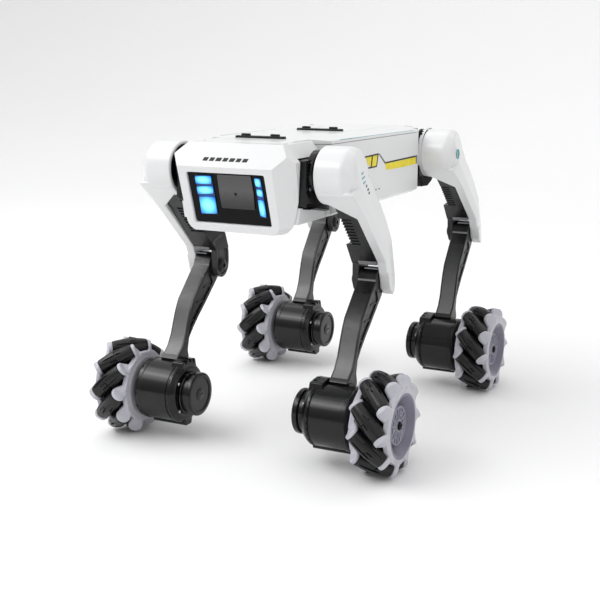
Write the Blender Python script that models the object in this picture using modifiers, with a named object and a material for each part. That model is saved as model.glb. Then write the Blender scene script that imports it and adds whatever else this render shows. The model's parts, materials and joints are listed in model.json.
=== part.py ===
"""Four-legged toy robot dog on mecanum wheels, as an assembly of separate pieces.

Frame: metres, +Z up, the head looks along -Y, +X is the robot's left side.
The origin is on the ground under the middle of the wheels' footprint.
Lengths below are in millimetres and MM turns them into metres.
"""
import bpy
import bmesh
import math
from mathutils import Matrix, Vector

MM = 0.001

# ---------------------------------------------------------------- driving sizes
WHEEL_R = 32.0            # rolling radius of a mecanum wheel
WHEEL_X = 94.2            # wheel centre from the middle plane
WHEEL_HALF_W = 15.25      # half the width over the side plates
AXLE_Y = 99.5             # front and rear axles at -+ this
AXLE_Z = 32.0
ROLLERS = 10
ROLLER_PITCH_R = 26.2     # radius of the circle through the roller middles
ROLLER_HALF_L = 12.0
ROLLER_MID_R = WHEEL_R - ROLLER_PITCH_R
ROLLER_END_R = 4.2
ROLLER_TILT = 45.0        # degrees

HIP_Y, HIP_Z = -92.1, 182.6      # front hip axis
KNEE_Y, KNEE_Z = -46.0, 109.7    # front knee axis
REAR_LEAN = 6.0                  # rear leg stands the same pose, turned this many degrees

BARREL_R = 18.6           # white shoulder barrel
RIM_X = 50.5              # inner rim of the shoulder barrel
COVER_X = 77.0            # outer face of the thigh cover
BLADE_X = 69.6            # inner face of the cover's long blade
BARREL_TOP = 199.7        # the barrel is flattened here
SLOPE = 0.26              # how fast the cover's outer face falls away behind its ridge
MOTOR_R = 20.7
GAP = 0.3                 # clearance between touching pieces
CENTRE_Y = -13.97         # brings the middle of the whole length onto the origin

BODY_HALF_W = 43.5        # at the front; the flanks flare to HIP_HALF_W at the rear hips
HIP_HALF_W = 49.28
BELLY_Z, SEAM_Z, DECK_Z = 152.6, 198.4, 202.0
NECK_HALF_W = 30.2
STRIPS = (("deck_strip_front", -82.0), ("deck_strip_rear", 5.0))

# ---------------------------------------------------------------- clean scene
for _o in list(bpy.data.objects):
    bpy.data.objects.remove(_o, do_unlink=True)
for _c in list(bpy.data.collections):
    bpy.data.collections.remove(_c)

DOG = bpy.data.collections.new("robot_dog")
CUTTERS = bpy.data.collections.new("cutters")
bpy.context.scene.collection.children.link(DOG)
bpy.context.scene.collection.children.link(CUTTERS)


def material(name, rgb, rough, metal=0.0, emission=None):
    m = bpy.data.materials.new(name)
    m.use_nodes = True
    b = m.node_tree.nodes["Principled BSDF"]
    b.inputs["Base Color"].default_value = (*rgb, 1.0)
    b.inputs["Roughness"].default_value = rough
    b.inputs["Metallic"].default_value = metal
    if emission:
        b.inputs["Emission Color"].default_value = (*emission, 1.0)
        b.inputs["Emission Strength"].default_value = 2.0
    return m


WHITE = (0.86, 0.86, 0.87)
BLACK = (0.02, 0.02, 0.022)
DARK = (0.05, 0.05, 0.055)
PLATE = (0.42, 0.41, 0.47)
STEEL = (0.55, 0.55, 0.57)


# ---------------------------------------------------------------- modelling tools
def put(obj, coll=DOG):
    for c in list(obj.users_collection):
        c.objects.unlink(obj)
    coll.objects.link(obj)
    return obj


def from_bmesh(bm, name="tmp"):
    me = bpy.data.meshes.new(name)
    bmesh.ops.recalc_face_normals(bm, faces=bm.faces)
    bm.to_mesh(me)
    bm.free()
    o = bpy.data.objects.new(name, me)
    CUTTERS.objects.link(o)
    return o


def bake(obj):
    """Turn the evaluated shape into plain mesh data with no modifiers."""
    bpy.context.view_layer.update()
    dg = bpy.context.evaluated_depsgraph_get()
    me = bpy.data.meshes.new_from_object(obj.evaluated_get(dg))
    old = obj.data
    obj.modifiers.clear()
    obj.data = me
    if isinstance(old, bpy.types.Mesh) and old.users == 0:
        bpy.data.meshes.remove(old)
    return obj


AXES = {
    # outline plane -> matrix that takes (u, v, depth) to world x, y, z
    "YZ": Matrix(((0, 0, 1, 0), (1, 0, 0, 0), (0, 1, 0, 0), (0, 0, 0, 1))),
    "XY": Matrix(((1, 0, 0, 0), (0, 1, 0, 0), (0, 0, 1, 0), (0, 0, 0, 1))),
    "XZ": Matrix(((1, 0, 0, 0), (0, 0, -1, 0), (0, 1, 0, 0), (0, 0, 0, 1))),
}


def prism(plane, outline, lo, hi, holes=()):
    """A flat outline (mm) extruded between two depths along the third axis."""
    cu = bpy.data.curves.new("outline", "CURVE")
    cu.dimensions = "2D"
    cu.fill_mode = "BOTH"
    cu.extrude = (hi - lo) / 2 * MM
    for pts in (outline, *holes):
        s = cu.splines.new("POLY")
        s.points.add(len(pts) - 1)
        for p, (u, v) in zip(s.points, pts):
            p.co = (u * MM, v * MM, 0, 1)
        s.use_cyclic_u = True
    o = bpy.data.objects.new("outline", cu)
    CUTTERS.objects.link(o)
    bpy.context.view_layer.update()
    dg = bpy.context.evaluated_depsgraph_get()
    me = bpy.data.meshes.new_from_object(o.evaluated_get(dg))
    bpy.data.objects.remove(o, do_unlink=True)
    bpy.data.curves.remove(cu)
    bm = bmesh.new()
    bm.from_mesh(me)
    bpy.data.meshes.remove(me)
    bmesh.ops.remove_doubles(bm, verts=bm.verts, dist=1e-6)
    mid = (lo + hi) / 2 * MM
    if plane == "XZ":
        mid = -mid
    bmesh.ops.transform(bm, matrix=AXES[plane] @ Matrix.Translation((0, 0, mid)), verts=bm.verts)
    return from_bmesh(bm)


def cyl_x(y, z, r, x0, x1, n=24, r2=None, phase=0.5):
    """A cylinder (or cone) along X; a flat of the polygon faces down."""
    bm = bmesh.new()
    bmesh.ops.create_cone(bm, cap_ends=True, cap_tris=False, segments=n,
                          radius1=r * MM, radius2=(r if r2 is None else r2) * MM,
                          depth=(x1 - x0) * MM)
    m = (Matrix.Translation(((x0 + x1) / 2 * MM, y * MM, z * MM))
         @ Matrix.Rotation(math.pi / 2, 4, "Y")
         @ Matrix.Rotation(2 * math.pi * phase / n, 4, "Z"))
    bmesh.ops.transform(bm, matrix=m, verts=bm.verts)
    return from_bmesh(bm)


def cyl_z(x, y, r, z0, z1, n=24):
    bm = bmesh.new()
    bmesh.ops.create_cone(bm, cap_ends=True, cap_tris=False, segments=n,
                          radius1=r * MM, radius2=r * MM, depth=(z1 - z0) * MM)
    bmesh.ops.translate(bm, vec=Vector((x, y, (z0 + z1) / 2)) * MM, verts=bm.verts)
    return from_bmesh(bm)


def box(x0, x1, y0, y1, z0, z1):
    bm = bmesh.new()
    bmesh.ops.create_cube(bm, size=1.0)
    bmesh.ops.scale(bm, vec=Vector((x1 - x0, y1 - y0, z1 - z0)) * MM, verts=bm.verts)
    bmesh.ops.translate(bm, vec=Vector((x0 + x1, y0 + y1, z0 + z1)) * MM / 2, verts=bm.verts)
    return from_bmesh(bm)


def turned_x(profile, y, z, n=28):
    """A turned piece about an X axis. profile = (x, r) from its +x end to its -x end."""
    me = bpy.data.meshes.new("turned")
    # the profile stands up the Z axis at +X, listed from top to bottom
    me.from_pydata([(r * MM, 0, x * MM) for x, r in profile],
                   [(i, i + 1) for i in range(len(profile) - 1)], [])
    o = bpy.data.objects.new("turned", me)
    CUTTERS.objects.link(o)
    s = o.modifiers.new("turn", "SCREW")
    s.axis = "Z"
    s.steps = n
    s.render_steps = n
    s.use_merge_vertices = True
    s.merge_threshold = 0.00001
    bake(o)
    bm = bmesh.new()
    bm.from_mesh(o.data)
    bmesh.ops.remove_doubles(bm, verts=bm.verts, dist=1e-6)
    m = Matrix.Translation((0, y * MM, z * MM)) @ Matrix.Rotation(math.pi / 2, 4, "Y")
    bmesh.ops.transform(bm, matrix=m, verts=bm.verts)
    bpy.data.objects.remove(o, do_unlink=True)
    return from_bmesh(bm)


def hull(points):
    bm = bmesh.new()
    for p in points:
        bm.verts.new(Vector(p) * MM)
    bmesh.ops.convex_hull(bm, input=bm.verts)
    return from_bmesh(bm)


def combine(a, b, op, keep=False):
    """Boolean b into a; b is used up unless it is kept."""
    m = a.modifiers.new("bool", "BOOLEAN")
    m.operation = op
    m.solver = "EXACT"
    m.object = b
    bake(a)
    if not keep:
        bpy.data.objects.remove(b, do_unlink=True)
    return a


def union(a, *others):
    for b in others:
        combine(a, b, "UNION")
    return a


def cut(a, *others):
    for b in others:
        combine(a, b, "DIFFERENCE")
    return a


def meet(a, *others):
    for b in others:
        combine(a, b, "INTERSECT")
    return a


def bevel(a, width, segments=1, angle=35):
    m = a.modifiers.new("bevel", "BEVEL")
    m.width = width * MM
    m.segments = segments
    m.limit_method = "ANGLE"
    m.angle_limit = math.radians(angle)
    m.use_clamp_overlap = True
    return bake(a)


def tidy(a):
    """Weld slivers left by the cuts and drop loose needles."""
    bm = bmesh.new()
    bm.from_mesh(a.data)
    bmesh.ops.remove_doubles(bm, verts=bm.verts, dist=2e-6)
    bmesh.ops.dissolve_degenerate(bm, edges=bm.edges, dist=1e-6)
    bmesh.ops.dissolve_limit(bm, angle_limit=math.radians(0.5), verts=bm.verts, edges=bm.edges)
    bm.to_mesh(a.data)
    bm.free()
    return a


def arc(cy, cz, r, a0, a1, n):
    """Points on an arc in the YZ plane, degrees from +Y towards +Z."""
    return [(cy + r * math.cos(math.radians(a0 + (a1 - a0) * i / n)),
             cz + r * math.sin(math.radians(a0 + (a1 - a0) * i / n))) for i in range(n + 1)]


def finish(obj, name, mat, parent=None, origin=(0, 0, 0)):
    """Name a piece, give it its own material and hang it on its joint's empty."""
    o = Vector(origin) * MM
    obj.data.transform(Matrix.Translation(-o))
    obj.name = name
    obj.data.name = name
    obj.data.materials.clear()
    obj.data.materials.append(mat)
    obj.data.shade_smooth()
    obj.data.set_sharp_from_angle(angle=math.radians(35))
    put(obj)
    if parent is None:
        obj.location = o
    else:
        obj.parent = parent
    return obj


# ---------------------------------------------------------------- one leg, as the front left one
def make_thigh_cover():
    """White shoulder barrel with the long blade over the outside of the thigh."""
    r, e = BARREL_R, COVER_X
    solid = turned_x([(e, 0), (e, r - 9.6), (e - 2.1, r - 5.4), (e - 6.0, r - 1.6), (e - 9.4, r), (RIM_X + 0.7, r),
                      (RIM_X, r - 0.7), (RIM_X, 0)], HIP_Y, HIP_Z, 24)
    chin = prism("YZ", [(-106.9, 170.9), (-87.6, 155.2), (-76, 160.7), (-78, 186), (-106.2, 183)], 51.6, 73.0)
    # its bottom edge runs up towards the inside, so the arm shows below it
    cut(chin, hull([(x, y + dy, z + dz) for x, y, z in ((45, -108.6, 169.6), (BLADE_X + 0.1, -87.9, 155.0),
                                                       (BLADE_X + 0.1, -60, 132), (45, -75, 142.5))
                    for dy, dz in ((-12, -15), (12, 15))]))
    blade = prism("YZ", [(-106.6, 170.5), (-87.2, 154.9), (-54.5, 123.3), (-50.5, 113), (-48.5, 105),
                         (-43.5, 100.5), (-36.5, 101.5), (-32, 106), (-31.3, 112), (-33.5, 121),
                         (-38.5, 135), (-46, 149), (-55, 160.5), (-66, 171), (-75, 185), (-92, 190)],
                  BLADE_X, COVER_X - 0.2)
    bevel(blade, 1.0, 1)
    union(solid, chin, blade)
    # a ridge runs down beside the blade's front edge and the outer face falls away behind it
    for (y, z), (ty, tz) in (((-92.6, 171.2), (0.700, -0.714)), ((-47.9, 114.3), (0.27, -0.963))):
        cut(solid, hull([(x, y - tz * d + ty * t, z + ty * d + tz * t) for t in (-60, 90)
                         for x, d in ((e + 2 * SLOPE, -2), (e - 50 * SLOPE, 50), (e + 15, -2), (e + 15, 50))]))
    cut(solid, box(40, 90, HIP_Y - 14, HIP_Y + 14, BARREL_TOP, BARREL_TOP + 20))
    cavity = cyl_x(HIP_Y, HIP_Z, 16.1, RIM_X - 5, BLADE_X + 0.1, n=24)
    # the frame's arm leaves the barrel between its chin and its back
    slot = prism("YZ", [(-97.6, 167.6), (-84.5, 154.6), (-79, 149), (-48, 149.5), (-59.5, 163.4),
                        (-71, 175.5), (-77, 183), (-92, 186)], RIM_X - 4, BLADE_X + 0.1)
    union(cavity, slot)
    cut(solid, cavity)
    cut(solid, cyl_x(KNEE_Y, KNEE_Z, 2.75, 60, 73.6, n=12))
    return tidy(solid)


def make_thigh_frame():
    """Black inner frame: hip boss, ribbed arm and the inner cheek of the knee clevis."""
    boss = cyl_x(HIP_Y, HIP_Z, 15.6, 52.7, 69.3, n=20)
    arm = prism("YZ", [(-97, 167.2), (-84.2, 155.2), (-54.7, 123.2), (-52.9, 121), (-38, 121),
                       (-38.6, 126), (-42.2, 137), (-49.5, 150), (-60, 163), (-78, 180)],
                56.2, 69.3)
    web = hull([(52.9, -66.2, 135.6), (52.9, -42.4, 136.6), (60, -66.2, 135.6), (60, -42.4, 136.6),
                (51.4, -54.7, 123.2), (51.4, -52.9, 121), (60, -54.7, 123.2), (60, -52.9, 121),
                (51.4, -36.4, 121), (60, -37.5, 121), (51.4, -40.5, 131.7)])
    cheek = prism("YZ", [(-60, 128.5), (-52.7, 121.2), (-52.7, 107.5), (-50.2, 103), (-46, 100.9),
                         (-41, 102), (-37.2, 106), (-36, 112), (-36.2, 119), (-40.5, 131.7), (-50, 131.7)],
                  51.4, 55.9)
    union(boss, arm, web, cheek)
    cut(boss, cyl_x(KNEE_Y, KNEE_Z, 2.75, 45, 60, n=12))
    cut(boss, cyl_x(HIP_Y, HIP_Z, 3.4, 45, 60, n=12))
    return tidy(boss)


def make_hip_horn():
    """Output disc of the hip servo with its splined stub, screwed to the frame."""
    disc = cyl_x(HIP_Y, HIP_Z, 10.0, 49.95, 52.4, n=20)
    stub = cyl_x(HIP_Y, HIP_Z, 3.1, 51.0, 58.5, n=12)
    return union(disc, stub)


def make_knee_pin():
    pin = cyl_x(KNEE_Y, KNEE_Z, 2.4, 50.4, 73.2, n=12)
    head = cyl_x(KNEE_Y, KNEE_Z, 4.6, 49.6, 51.1, n=12)
    return union(pin, head)


def make_shin():
    """Curved black shin, from the knee knuckle to the saddle on the motor."""
    saddle = arc(-AXLE_Y, AXLE_Z, MOTOR_R + GAP + 0.15, 88, 44, 6)
    outline = (saddle + [(-83.2, 50.5), (-84.6, 57), (-82.5, 65), (-77, 71), (-70, 77.5), (-62, 84),
                         (-54, 91), (-46, 98), (-42.8, 101.2)]
               + arc(KNEE_Y, KNEE_Z, 8.8, -55, 150, 9)
               + [(-55.5, 110), (-61, 105), (-70, 96), (-76, 90), (-80, 83), (-83, 76), (-86.5, 67),
                  (-91, 60), (-97.5, 54.6)])
    s = prism("YZ", outline, 56.3, 69.3)
    cut(s, cyl_x(KNEE_Y, KNEE_Z, 2.75, 50, 80, n=12))
    return tidy(s)


def make_motor_housing():
    """Gear-motor casing with its foot tab and the stepped block on top."""
    x = [(78.5, 0.0), (78.5, 19.4), (77.2, MOTOR_R), (49.5, MOTOR_R), (46.6, 18.4), (45.6, 16.4), (45.6, 0.0)]
    h = turned_x(x, -AXLE_Y, AXLE_Z, 24)
    tab = prism("YZ", [(-104, 14), (-95, 14), (-96.5, 9.2), (-102.5, 9.2)], 54.0, 74.0)
    block = prism("YZ", [(-111, 46), (-88, 46), (-91, 54.2), (-97, 55.0), (-106, 54.0)], 46.4, 55.8)
    union(h, tab, block)
    cut(h, cyl_x(-AXLE_Y, AXLE_Z, 3.3, 72.0, 85.0, n=12))
    return tidy(h)


def make_motor_cap():
    """Knurled end ring on the inner end of the motor."""
    x = [(45.3, 0.0), (45.3, 14.7), (39.0, 14.7), (37.3, 12.8), (37.3, 9.2), (38.6, 8.6), (38.6, 0.0)]
    return turned_x(x, -AXLE_Y, AXLE_Z, 20)


def lobed(n, r_out, r_in, share, phase, steps=1):
    """Outline with n round lobes; share is how much of a pitch a lobe takes."""
    pts = []
    for k in range(n):
        a = 360.0 / n * k + phase
        half = 180.0 / n * share
        for i in range(steps + 1):
            t = a - half + 2 * half * i / steps
            pts.append((r_out * math.cos(math.radians(t)), r_out * math.sin(math.radians(t))))
        pts.append((r_in * math.cos(math.radians(a + 180.0 / n)), r_in * math.sin(math.radians(a + 180.0 / n))))
    return [(-AXLE_Y + y, AXLE_Z + z) for y, z in pts]


def make_wheel_hub():
    """Hub drum with a lobed side plate at each end and a dished outer face."""
    core = cyl_x(-AXLE_Y, AXLE_Z, 19.9, WHEEL_X - 14.0, WHEEL_X + 14.0, n=20)
    inner = prism("YZ", lobed(ROLLERS, 29.6, 24.5, 0.62, 10), WHEEL_X - WHEEL_HALF_W, WHEEL_X - 12.1)
    outer = prism("YZ", lobed(ROLLERS, 29.6, 24.5, 0.62, -10), WHEEL_X + 12.1, WHEEL_X + WHEEL_HALF_W)
    union(core, inner, outer)
    dish = cyl_x(-AXLE_Y, AXLE_Z, 14.2, WHEEL_X + 6.0, WHEEL_X + 20, n=20, r2=19.5)
    cut(core, dish)
    union(core, cyl_x(-AXLE_Y, AXLE_Z, 7.0, WHEEL_X + 4.0, WHEEL_X + 11.0, n=12))
    cut(core, cyl_x(-AXLE_Y, AXLE_Z, 4.0, WHEEL_X - 20, WHEEL_X - 5.0, n=12),
        cyl_x(-AXLE_Y, AXLE_Z, 3.3, WHEEL_X + 8.4, WHEEL_X + 20.0, n=12))
    return tidy(core)


def make_wheel_shaft():
    """Motor output shaft that carries the hub."""
    return cyl_x(-AXLE_Y, AXLE_Z, 3.0, 72.4, WHEEL_X - 5.4, n=12)


def make_rollers():
    """Ten barrel rollers at 45 degrees on the ring that stands for their pins."""
    bm = bmesh.new()
    for k in range(ROLLERS):
        part = bmesh.new()
        for r1, r2, s in ((ROLLER_END_R, ROLLER_MID_R, -1), (ROLLER_MID_R, ROLLER_END_R, 1)):
            bmesh.ops.create_cone(part, cap_ends=False, segments=8, radius1=r1 * MM, radius2=r2 * MM,
                                  depth=ROLLER_HALF_L * MM,
                                  matrix=Matrix.Translation((0, 0, s * ROLLER_HALF_L / 2 * MM)))
        bmesh.ops.remove_doubles(part, verts=part.verts, dist=1e-6)
        bmesh.ops.holes_fill(part, edges=[e for e in part.edges if e.is_boundary], sides=0)
        bmesh.ops.recalc_face_normals(part, faces=part.faces)
        # roller axis along Z at the wheel's front, leaning inboard at its top
        part.transform(Matrix.Rotation(math.radians(-ROLLER_TILT), 4, "Y"))
        part.transform(Matrix.Translation((0, -ROLLER_PITCH_R * MM, 0)))
        part.transform(Matrix.Rotation(math.pi / 2 + 2 * math.pi * k / ROLLERS, 4, "X"))
        me = bpy.data.meshes.new("one")
        part.to_mesh(me)
        part.free()
        bm.from_mesh(me)
        bpy.data.meshes.remove(me)
    bmesh.ops.translate(bm, vec=Vector((WHEEL_X, -AXLE_Y, AXLE_Z)) * MM, verts=bm.verts)
    me = bpy.data.meshes.new("rollers")
    bm.to_mesh(me)
    bm.free()
    rollers = bpy.data.objects.new("rollers", me)
    CUTTERS.objects.link(rollers)
    n = 2 * ROLLERS
    rim = [(-AXLE_Y + (ROLLER_PITCH_R + 0.9) * math.cos(2 * math.pi * i / n),
            AXLE_Z + (ROLLER_PITCH_R + 0.9) * math.sin(2 * math.pi * i / n)) for i in range(n)]
    bore = [(-AXLE_Y + (ROLLER_PITCH_R - 0.9) * math.cos(2 * math.pi * i / n),
             AXLE_Z + (ROLLER_PITCH_R - 0.9) * math.sin(2 * math.pi * i / n)) for i in range(n)]
    ring = prism("YZ", rim, WHEEL_X - 0.9, WHEEL_X + 0.9, holes=(bore,))
    combine(ring, rollers, "UNION")
    return tidy(ring)


def make_hip_drum(rear):
    """Black servo drum between the body and the shoulder barrel."""
    if rear:
        return cyl_x(HIP_Y, HIP_Z, 17.2, BODY_HALF_W + 0.4, 49.6, n=20)
    case = prism("YZ", [(-109.4, 191.9), (-109.4, 163.6), (-75.2, 157.8), (-75.2, 190.4), (-79, 191.9)],
                 NECK_HALF_W + 0.4, 46.6)
    return union(case, cyl_x(HIP_Y, HIP_Z, 14.5, 45.0, 49.6, n=20))


def mirrored(obj):
    """The right-hand twin of a left-hand piece."""
    me = obj.data.copy()
    me.transform(Matrix.Scale(-1, 4, (1, 0, 0)))
    me.flip_normals()
    o = bpy.data.objects.new("twin", me)
    CUTTERS.objects.link(o)
    return o


def twin_of(obj):
    o = bpy.data.objects.new("copy", obj.data.copy())
    CUTTERS.objects.link(o)
    return o


def empty(name, parent, loc, lean=0.0):
    e = bpy.data.objects.new(name, None)
    e.empty_display_size = 0.01
    DOG.objects.link(e)
    e.location = Vector(loc) * MM
    e.rotation_euler = (math.radians(lean), 0, 0)
    if parent:
        e.parent = parent
    return e


hip0 = (0, HIP_Y, HIP_Z)
knee0 = (0, KNEE_Y, KNEE_Z)
axle0 = (0, -AXLE_Y, AXLE_Z)
# (piece, maker, joint it hangs on, colour, roughness, metallic)
LEG = [
    ("thigh_cover", make_thigh_cover, "hip", WHITE, 0.28, 0.0),
    ("thigh_frame", make_thigh_frame, "hip", BLACK, 0.38, 0.0),
    ("hip_horn", make_hip_horn, "hip", DARK, 0.45, 0.0),
    ("knee_pin", make_knee_pin, "hip", STEEL, 0.3, 1.0),
    ("shin", make_shin, "knee", BLACK, 0.35, 0.0),
    ("motor_housing", make_motor_housing, "knee", BLACK, 0.22, 0.0),
    ("motor_cap", make_motor_cap, "knee", BLACK, 0.45, 0.0),
    ("wheel_shaft", make_wheel_shaft, "wheel", STEEL, 0.3, 1.0),
    ("wheel_hub", make_wheel_hub, "wheel", PLATE, 0.4, 0.0),
    ("wheel_rollers", make_rollers, "wheel", BLACK, 0.6, 0.0),
]
masters = {name: fn() for name, fn, *_ in LEG}

lean = math.radians(REAR_LEAN)
dy, dz = HIP_Y + AXLE_Y, HIP_Z - AXLE_Z
REAR_HIP = (0, AXLE_Y + dy * math.cos(lean) - dz * math.sin(lean),
            AXLE_Z + dy * math.sin(lean) + dz * math.cos(lean))

for end in ("front", "rear"):
    for side in ("left", "right"):
        tag = end + "_" + side
        hip_at = hip0 if end == "front" else REAR_HIP
        hip = empty(tag + "_hip_axis", None, hip_at, 0.0 if end == "front" else REAR_LEAN)
        knee = empty(tag + "_knee_axis", hip, Vector(knee0) - Vector(hip0))
        # every wheel stands with a roller square to the ground
        wheel = empty(tag + "_wheel_axis", knee, Vector(axle0) - Vector(knee0),
                      0.0 if end == "front" else -REAR_LEAN)
        hang = {"hip": (hip, hip0), "knee": (knee, knee0), "wheel": (wheel, axle0)}
        for name, _fn, joint, rgb, rough, metal in LEG:
            piece = twin_of(masters[name]) if side == "left" else mirrored(masters[name])
            par, org = hang[joint]
            finish(piece, tag + "_" + name, material(tag + "_" + name, rgb, rough, metal), par, org)
        drum = make_hip_drum(end == "rear")
        if side == "right":
            d2 = mirrored(drum)
            bpy.data.objects.remove(drum, do_unlink=True)
            drum = d2
        drum.data.transform(Matrix.Translation((Vector(hip_at) - Vector(hip0)) * MM))
        finish(drum, tag + "_hip_drum", material(tag + "_hip_drum", BLACK, 0.3))
for o in masters.values():
    bpy.data.objects.remove(o, do_unlink=True)


# ---------------------------------------------------------------- body
def both_sides(half):
    """Close a half outline (x >= 0, front to rear) with its mirror image."""
    return half + [(-x, y) for x, y in reversed(half)]


PLAN = both_sides([(27.5, -103.6), (NECK_HALF_W, -100), (NECK_HALF_W, -74.2), (BODY_HALF_W, -69),
                   (HIP_HALF_W, 72.4), (BODY_HALF_W + 0.1, 73.3), (BODY_HALF_W, 85.5), (NECK_HALF_W, 89), (NECK_HALF_W, 110), (26, 114)])
INSIDE = both_sides([(25, -101), (27.8, -73.5), (BODY_HALF_W - 2.2, -67), (BODY_HALF_W - 2.2, 83.5),
                     (27.8, 87.5), (27.8, 109), (25, 111.8)])

# lower shell: open-topped tub with a sloped chin at the neck and a sloped tail
shell = prism("XY", PLAN, BELLY_Z, SEAM_Z)
meet(shell, prism("YZ", [(-103.6, 159.5), (-84, BELLY_Z), (92, BELLY_Z), (114, 161), (114, 200), (-103.6, 200)],
                  -60, 60))
meet(shell, prism("XZ", [(-40.5, 150), (40.5, 150), (40.5, BELLY_Z), (46, 156), (HIP_HALF_W + 1, 156.5),
                         (HIP_HALF_W + 1, 200), (-HIP_HALF_W - 1, 200), (-HIP_HALF_W - 1, 156.5), (-46, 156),
                         (-40.5, BELLY_Z)], -120, 120))
# a cradle under each front hip joins the belly to the head
cradles = []
for s in (1, -1):
    c = prism("XY", [(s * x, y) for x, y in ((31.5, -109.6), (42.5, -109.6), (42.5, -59), (28.6, -59),
                                             (28.6, -102.9), (31.5, -102.9))], 150, 170)
    meet(c, prism("YZ", [(-112, BELLY_Z + 0.1), (-50, BELLY_Z + 0.1), (-50, 153.2), (-59.5, 154.7), (-112, 163.4)], -60, 60))
    meet(c, prism("XZ", [(s * x, z) for x, z in ((20, 140), (40.4, 140), (40.4, BELLY_Z), (42.0, 163), (42, 180), (20, 180))],
                  -120, -40))
    cradles.append(c)
tub = prism("XY", INSIDE, BELLY_Z + 2.2, 210)
meet(tub, prism("YZ", [(-101, 162), (-84, BELLY_Z + 2.2), (91, BELLY_Z + 2.2), (111.8, 163), (111.8, 210), (-101, 210)],
                -60, 60))
meet(tub, prism("XZ", [(-36.5, 150), (36.5, 150), (36.5, BELLY_Z + 2.2), (BODY_HALF_W - 2.2, 162.5),
                       (BODY_HALF_W - 2.2, 215), (-BODY_HALF_W + 2.2, 215), (-BODY_HALF_W + 2.2, 162.5),
                       (-36.5, BELLY_Z + 2.2)], -120, 120))
cut(shell, tub)
union(shell, *cradles)
# battery opening in the belly, power button hole and charging socket hole in the tail
cut(shell, box(-20.5, 20.5, -22, 46, BELLY_Z - 5, BELLY_Z + 5))
cut(shell, box(-14.5, -5.5, 105, 120, 176.5, 185.5))
cut(shell, box(5, 15, 105, 120, 177.5, 184.5))
finish(tidy(shell), "body_lower_shell", material("body_lower_shell", WHITE, 0.28))

# deck: the raised lid of the body
lid = prism("XY", PLAN, SEAM_Z + GAP, 206)
meet(lid, prism("XZ", [(-HIP_HALF_W - 1, 190), (HIP_HALF_W + 1, 190), (HIP_HALF_W + 1, 199.8), (44, 200.8),
                       (31, DECK_Z - 0.4), (24, DECK_Z), (-24, DECK_Z), (-31, DECK_Z - 0.4), (-44, 200.8),
                       (-HIP_HALF_W - 1, 199.8)], -120, 120))
meet(lid, prism("YZ", [(-103.6, 190), (114, 190), (114, 199.8), (90, DECK_Z), (-88, DECK_Z), (-103.6, 201.0)],
                -60, 60))
cut(lid, prism("XY", both_sides([(24, -98), (26, -74), (38.5, -65), (38.5, 81), (26, 86), (24, 108)]),
               190, 200.2))
# eaves that slope down over the front hips
for s in (1, -1):
    slope = [(32.8, 200.9), (39.5, 192.4)]
    for y0, y1, section in ((-103.3, -74.7, [(30.0, SEAM_Z + GAP), (30.0, 200.9)] + slope
                             + [(NECK_HALF_W + 0.4, 192.4), (NECK_HALF_W + 0.4, SEAM_Z + GAP)]),
                            (-109.6, -103.1, [(31.5, 192.4), (31.5, 200.9)] + slope)):
        union(lid, prism("XZ", [(s * x, z) for x, z in section], y0, y1))
for _name, y in STRIPS:
    cut(lid, box(-17.9, 17.9, y - 2.6, y + 2.6, 200.9, 210))
finish(tidy(lid), "body_top_cover", material("body_top_cover", WHITE, 0.28))

# two black grip strips let into the deck, each with two pads
for name, y in STRIPS:
    s = box(-17.6, 17.6, y - 2.3, y + 2.3, 201.2, DECK_Z + 1.4)
    union(s, box(-13.5, -7.5, y - 1.6, y + 1.6, 202.5, DECK_Z + 2.7),
          box(7.5, 13.5, y - 1.6, y + 1.6, 202.5, DECK_Z + 2.7))
    finish(tidy(s), name, material(name, BLACK, 0.5))

# battery door in the belly, flush with it, and the pack above it
door = box(-20.2, 20.2, -21.7, 45.7, BELLY_Z, BELLY_Z + 2.0)
finish(door, "battery_door", material("battery_door", WHITE, 0.35))
finish(box(-19, 19, -20, 44, BELLY_Z + 2.6, 176), "battery_pack", material("battery_pack", (0.06, 0.16, 0.4), 0.45))

# chassis plate that carries the hips, standing on the tub's floor at the neck and the tail
chassis = box(-25, 25, -96, 104, 179, 181.4)
for y0, y1 in ((-80, -74), (-40, -34), (56, 62)):
    union(chassis, box(-22, 22, y0, y1, BELLY_Z + 2.5, 180))
for y0, y1 in ((-36, -28), (18, 26)):
    union(chassis, box(-20, 20, y0, y1, 181, 185.9))
finish(tidy(chassis), "chassis_plate", material("chassis_plate", DARK, 0.55))
finish(box(-22, 22, -50, 40, 186.2, 187.8), "control_board", material("control_board", (0.02, 0.2, 0.09), 0.5))

# power button in the tail: cap outside, guide stem inside its hole
button = box(-14.1, -5.9, 112.2, 116.4, 176.9, 185.1)
bevel(button, 0.5, 1)
union(button, box(-12, -8, 106.5, 113, 179, 183))
finish(tidy(button), "power_button", material("power_button", DARK, 0.45), None, (-10, 112.2, 181))
socket = box(5.4, 14.6, 106.5, 113.8, 177.9, 184.1)
cut(socket, box(7.2, 12.8, 109.0, 116, 179.6, 182.4))
finish(tidy(socket), "charging_socket", material("charging_socket", DARK, 0.4))

# ---------------------------------------------------------------- head
HEAD_BACK = -103.9
FACE_TILT = 17.4          # the face leans forward at its top
head = prism("YZ", [(HEAD_BACK, 146.2), (-117.0, 146.5), (-129.3, 187.4), (-114.6, 200.9), (HEAD_BACK, 200.9)],
             -42.2, 42.2)
meet(head, prism("XY", both_sides([(42.2, -140), (42.2, -110.1), (NECK_HALF_W, -110.1), (NECK_HALF_W, HEAD_BACK + 1)]),
                 140, 210))
meet(head, prism("XZ", [(-37.6, 146.0), (37.6, 146.0), (40.3, 149), (42.2, 190.5), (33.0, 200.95),
                        (-33.0, 200.95), (-42.2, 190.5), (-40.3, 149)], -140, -95))


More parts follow.
